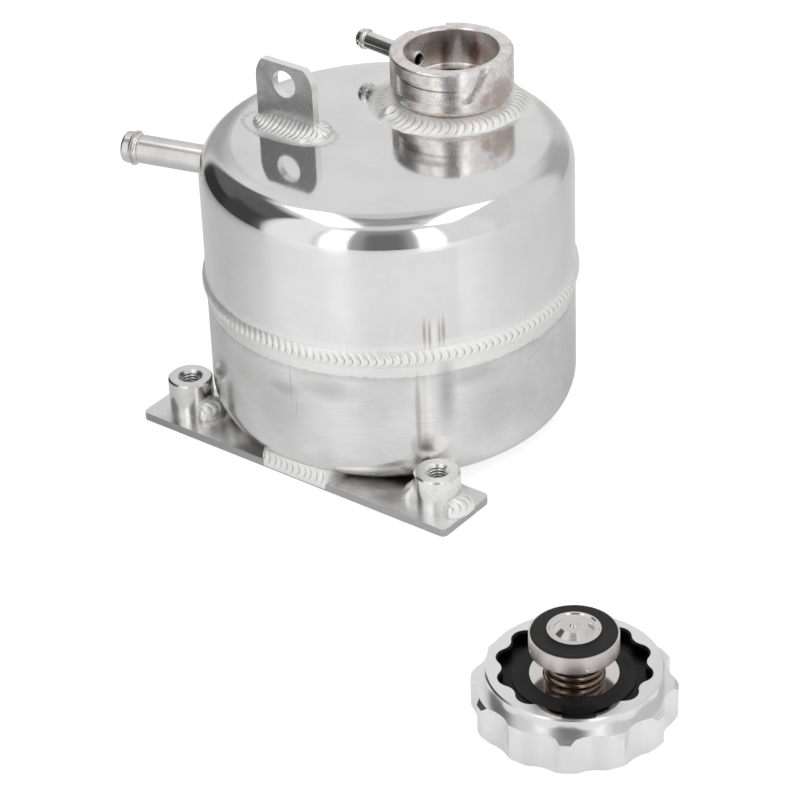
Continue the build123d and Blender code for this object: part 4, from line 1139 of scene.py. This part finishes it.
@dataclass
class Studio:
    """White floor and a light tent, which the camera doesn't see, and the camera."""

    camera_place: Point = mm(583.6, -689.9, 590.6)
    camera_aim: Point = mm(0, 48.7, 60)
    lens: float = 138.35
    roll: float = 2.36
    tilt: float = 2.74
    pan: float = 0.07
    heading: float = 38.31
    metal: float = 0.86
    floor_white: float = 0.62
    floor_drop: float = 0.05 * MM
    floor_sides: int = 72
    floor_rings: tuple[float, ...] = (0.02, 0.07, 0.12, 0.2, 0.4, 0.79)
    # Painted pools of light on the floor, by azimuth from the camera, which only reflections see as the floor's glow.
    floor_light_pools: tuple[Wall, ...] = (
        Wall(-180, 180, -90, 90, 0.05),
        Wall(-72, 56, -90, 90, 0.2, 56),
        Wall(140, 215, -90, 90, 0.08, 40),
    )
    card_stand: float = 45 * MM
    card_width: float = 92 * MM
    card_height: float = 62 * MM
    card_level: float = 0.83
    tent_radius: float = 0.8
    tent_middle: float = 0.1
    tent_sides: int = 144
    tent_lowest: float = -9.0
    tent_step: float = 2.25
    tent_rings: int = 45
    tent_tone: float = 212
    parts: tuple[Wall | Softbox, ...] = (
        # Ceiling, from the horizon up: back, sides and front fade into a darker crown.
        Wall(-180, 180, 74, 200, 146, 3, 14),
        Wall(-34, 34, 64, 200, 150, 18, 12),
        Wall(-26, 30, 50, 65, 206, 14, 8),
        Wall(125, 235, 66, 88, 194, 30, 10),
        # Grey side and back cloths of the tent.
        Wall(32, 122, -90, 66, 206, 8, 12),
        Wall(34, 62, -90, 56, 216, 10, 10),
        Wall(118, 152, -90, 34, 164, 10, 22),
        Wall(144, 166, -90, 22, 190, 14, 20),
        Wall(190, 216, -90, 30, 158, 12, 24),
        Wall(-84, -34, -90, 64, 228, 3, 14),
        # Dark opening at the left, with something paler in its upper part.
        Wall(-140, -76, -90, 52, 92, 3, 6),
        Wall(-118, -76, -90, 55, 88, 10, 10),
        Wall(-138, -96, -90, 16, 50, 4, 4),
        Wall(-108, -80, -90, 28, 62, 8, 10),
        # Gap at the front between two tall white strips.
        Wall(-23, 17, -90, 52, 150, 3, 6),
        Wall(-15, 9, -90, 44, 104, 8, 26),
        Wall(-38, -23.5, -90, 47, 300, 2, 3),
        Wall(15.5, 30.5, -90, 47, 300, 2, 3),
        Wall(-44, -41.5, -90, 40, 205, 1.5, 8),
        # Two lamps overhead.
        Softbox(-0.53, -0.235, -0.36, 0.50, 340, 0.06),
        Softbox(0.33, 0.62, -0.2, 0.58, 340, 0.06),
    )

    def build(self) -> None:
        """Makes the camera, floor, tent, card and world."""
        self._camera()
        self._world()
        self._floor()
        self._tent()
        self._card()

    def _camera(self) -> None:
        """Puts the camera at the photograph's place and angle."""
        data = bpy.data.cameras.new("camera")
        data.lens = self.lens
        data.sensor_width = 36.0
        data.clip_start = 0.05
        data.clip_end = 50.0
        camera = bpy.data.objects.new("camera", data)
        place = Vector(self.camera_place)
        forward = (Vector(self.camera_aim) - place).normalized()
        right = forward.cross(Vector((0, 0, 1))).normalized()
        rows = Matrix((right, right.cross(forward), -forward))
        turn = (Matrix.Rotation(math.radians(self.roll), 3, "Z")
                @ Matrix.Rotation(math.radians(self.tilt), 3, "X")
                @ Matrix.Rotation(math.radians(self.pan), 3, "Y"))
        camera.matrix_world = Matrix.Translation(place) @ (turn @ rows).transposed().to_4x4()
        bpy.context.scene.collection.objects.link(camera)
        bpy.context.scene.camera = camera

    def _world(self) -> None:
        """Makes the world, which is white for the camera alone, as the tent lights everything else."""
        world = bpy.data.worlds.new("studio")
        bpy.context.scene.world = world
        tree = cleared(world)
        path = add_node(tree, "ShaderNodeLightPath").outputs["Is Camera Ray"]
        white = add_node(tree, "ShaderNodeBackground", {"Color": linear_colour("FFFFFF"), "Strength": path})
        add_node(tree, "ShaderNodeOutputWorld", {"Surface": white})

    def _rings(self, around: int, rings: Sequence[Point], glow: Callable[[float, float], float]) -> BMesh:
        """Joins level rings about the tank's axis into a sheet that carries its brightness.

        Args:
            around: Points to a ring.
            rings: Radius, height and elevation in degrees of each ring.
            glow: Gives the brightness at an azimuth and an elevation.

        Returns:
            The mesh in the making.
        """
        build = bmesh.new()
        layer = build.verts.layers.float.new("glow")
        rows = []
        for reach, height, elevation in rings:
            row = []
            for index in range(around):
                azimuth = 360 * index / around - 180
                turn = math.radians(azimuth - 90 + self.heading)
                vertex = build.verts.new((*round_about(TANK_AXIS, reach, turn), height))
                vertex[layer] = glow(azimuth, elevation)
                row.append(vertex)
            rows.append(row)
        for near, far in zip(rows, rows[1:]):
            for index in range(around):
                after = (index + 1) % around
                build.faces.new((near[index], far[index], far[after], near[after]))
        return build

    def _floor(self) -> None:
        """Makes the white floor, which keeps the object's shadow and, for all rays but the camera's, glows with painted
        pools of light.
        """
        build = self._rings(self.floor_sides, [(reach, 0.0, 0.0) for reach in self.floor_rings],
                            lambda azimuth, elevation: sum(
                                pool.share(azimuth, elevation) * pool.tone for pool in self.floor_light_pools))
        build.faces.new(list(build.verts)[:self.floor_sides])
        made = bpy.data.materials.new("white_paper_sweep")
        tree = cleared(made)
        paper = add_node(tree, "ShaderNodeBsdfPrincipled", {
            "Base Color": linear_colour("E8E8E8"), "Roughness": 0.28})
        path = add_node(tree, "ShaderNodeLightPath").outputs["Is Camera Ray"]
        pools = add_node(tree, "ShaderNodeAttribute", attribute_name="glow").outputs["Fac"]
        lift = add_node(tree, "ShaderNodeMapRange", {"Value": path, "To Min": pools, "To Max": self.floor_white})
        glow = add_node(tree, "ShaderNodeEmission", {"Strength": lift})
        both = add_node(tree, "ShaderNodeAddShader", {0: paper, 1: glow})
        add_node(tree, "ShaderNodeOutputMaterial", {"Surface": both})
        self._staged("studio_floor", build, made).location.z = -self.floor_drop

    def level(self, tone: float) -> float:
        """Brightness of the tent at which the metal shows a tone."""
        return linear(tone / 255) / self.metal

    def _glow(self, azimuth: float, elevation: float) -> float:
        """Brightness of the tent in one direction.

        Args:
            azimuth: Degrees from the camera.
            elevation: Degrees over the horizon.

        Returns:
            The brightness, where 1 is white.
        """
        glow = self.level(self.tent_tone)
        for part in self.parts:
            glow += (self.level(part.tone) - glow) * part.share(azimuth, elevation)
        return glow

    def _tent(self) -> None:
        """Makes the tent: a dome whose brightness is worked out at each of its points."""
        rings = []
        for step in range(self.tent_rings):
            elevation = self.tent_lowest + self.tent_step * step
            rings.append((self.tent_radius * math.cos(math.radians(min(elevation, NEARLY_UP))),
                          self.tent_middle + self.tent_radius * math.sin(math.radians(elevation)), elevation))
        self._hidden("light_tent", self._rings(self.tent_sides, rings, self._glow))

    def _card(self) -> None:
        """Makes the white card between tank and cap, seen only in the tank's polish, as the two stand apart."""
        centre = Vector(middle_of("cap_knob"))
        towards = (Vector(TANK_AXIS) - centre).normalized()
        side = Vector((-towards.y, towards.x))
        build = bmesh.new()
        layer = build.verts.layers.float.new("glow")
        corners = []
        for across, height in ((-1, 0), (1, 0), (1, 1), (-1, 1)):
            place = centre + towards * self.card_stand + side * across * self.card_width / 2
            corner = build.verts.new((*place, 1 * MM + height * self.card_height))
            corner[layer] = self.card_level
            corners.append(corner)
        build.faces.new(corners)
        self._hidden("bounce_card", build).visible_diffuse = False

    def _hidden(self, name: str, build: BMesh) -> Object:
        """Makes a glowing stage piece that the camera and the shadows don't see.

        Args:
            name: The piece's name.
            build: Its mesh in the making, which is used up.

        Returns:
            The piece.
        """
        made = bpy.data.materials.new(name + "_light")
        tree = cleared(made)
        glow = add_node(tree, "ShaderNodeAttribute", attribute_name="glow").outputs["Fac"]
        light = add_node(tree, "ShaderNodeEmission", {"Strength": glow})
        add_node(tree, "ShaderNodeOutputMaterial", {"Surface": light})
        piece = self._staged(name, build, made)
        piece.visible_camera = False
        piece.visible_shadow = False
        return piece

    def _staged(self, name: str, build: BMesh, finish: Material) -> Object:
        """Turns a mesh in the making into a piece of the stage.

        Args:
            name: The piece's name.
            build: Its mesh in the making, which is used up.
            finish: Its material.

        Returns:
            The piece.
        """
        mesh = bpy.data.meshes.new(name)
        build.to_mesh(mesh)
        build.free()
        mesh.materials.append(finish)
        piece = placed(name, mesh)
        return piece


def main() -> None:
    """Builds the studio and dresses the object, sub-assembly by sub-assembly."""
    logging.basicConfig(level=logging.INFO, format="%(name)s: %(message)s")
    bpy.context.scene.view_settings.view_transform = "Standard"
    Studio().build()
    wire_tree = coil_tree()
    TankBody(wire_tree).build()
    # Weld metal laid with a filler rod: chalky white oxide on the crests, and painted shade darkening the ripples'
    # valleys.
    bead = Finish("tig_weld_metal", "FEFEFD", 0.36, metallic=0.75, grain_haze=0.12, speckle=0.05,
                  cloud_mm=6, valley_shade_colour="A3A2A1").material()
    WeldSet(bead, ripple_tree()).build()
    dress(bead, "base_plate_rear_weld", "side_inlet_weld", "outlet_weld", "overflow_barb_braze")
    PressureCap(wire_tree).build()


if __name__ == "__main__":
    main()
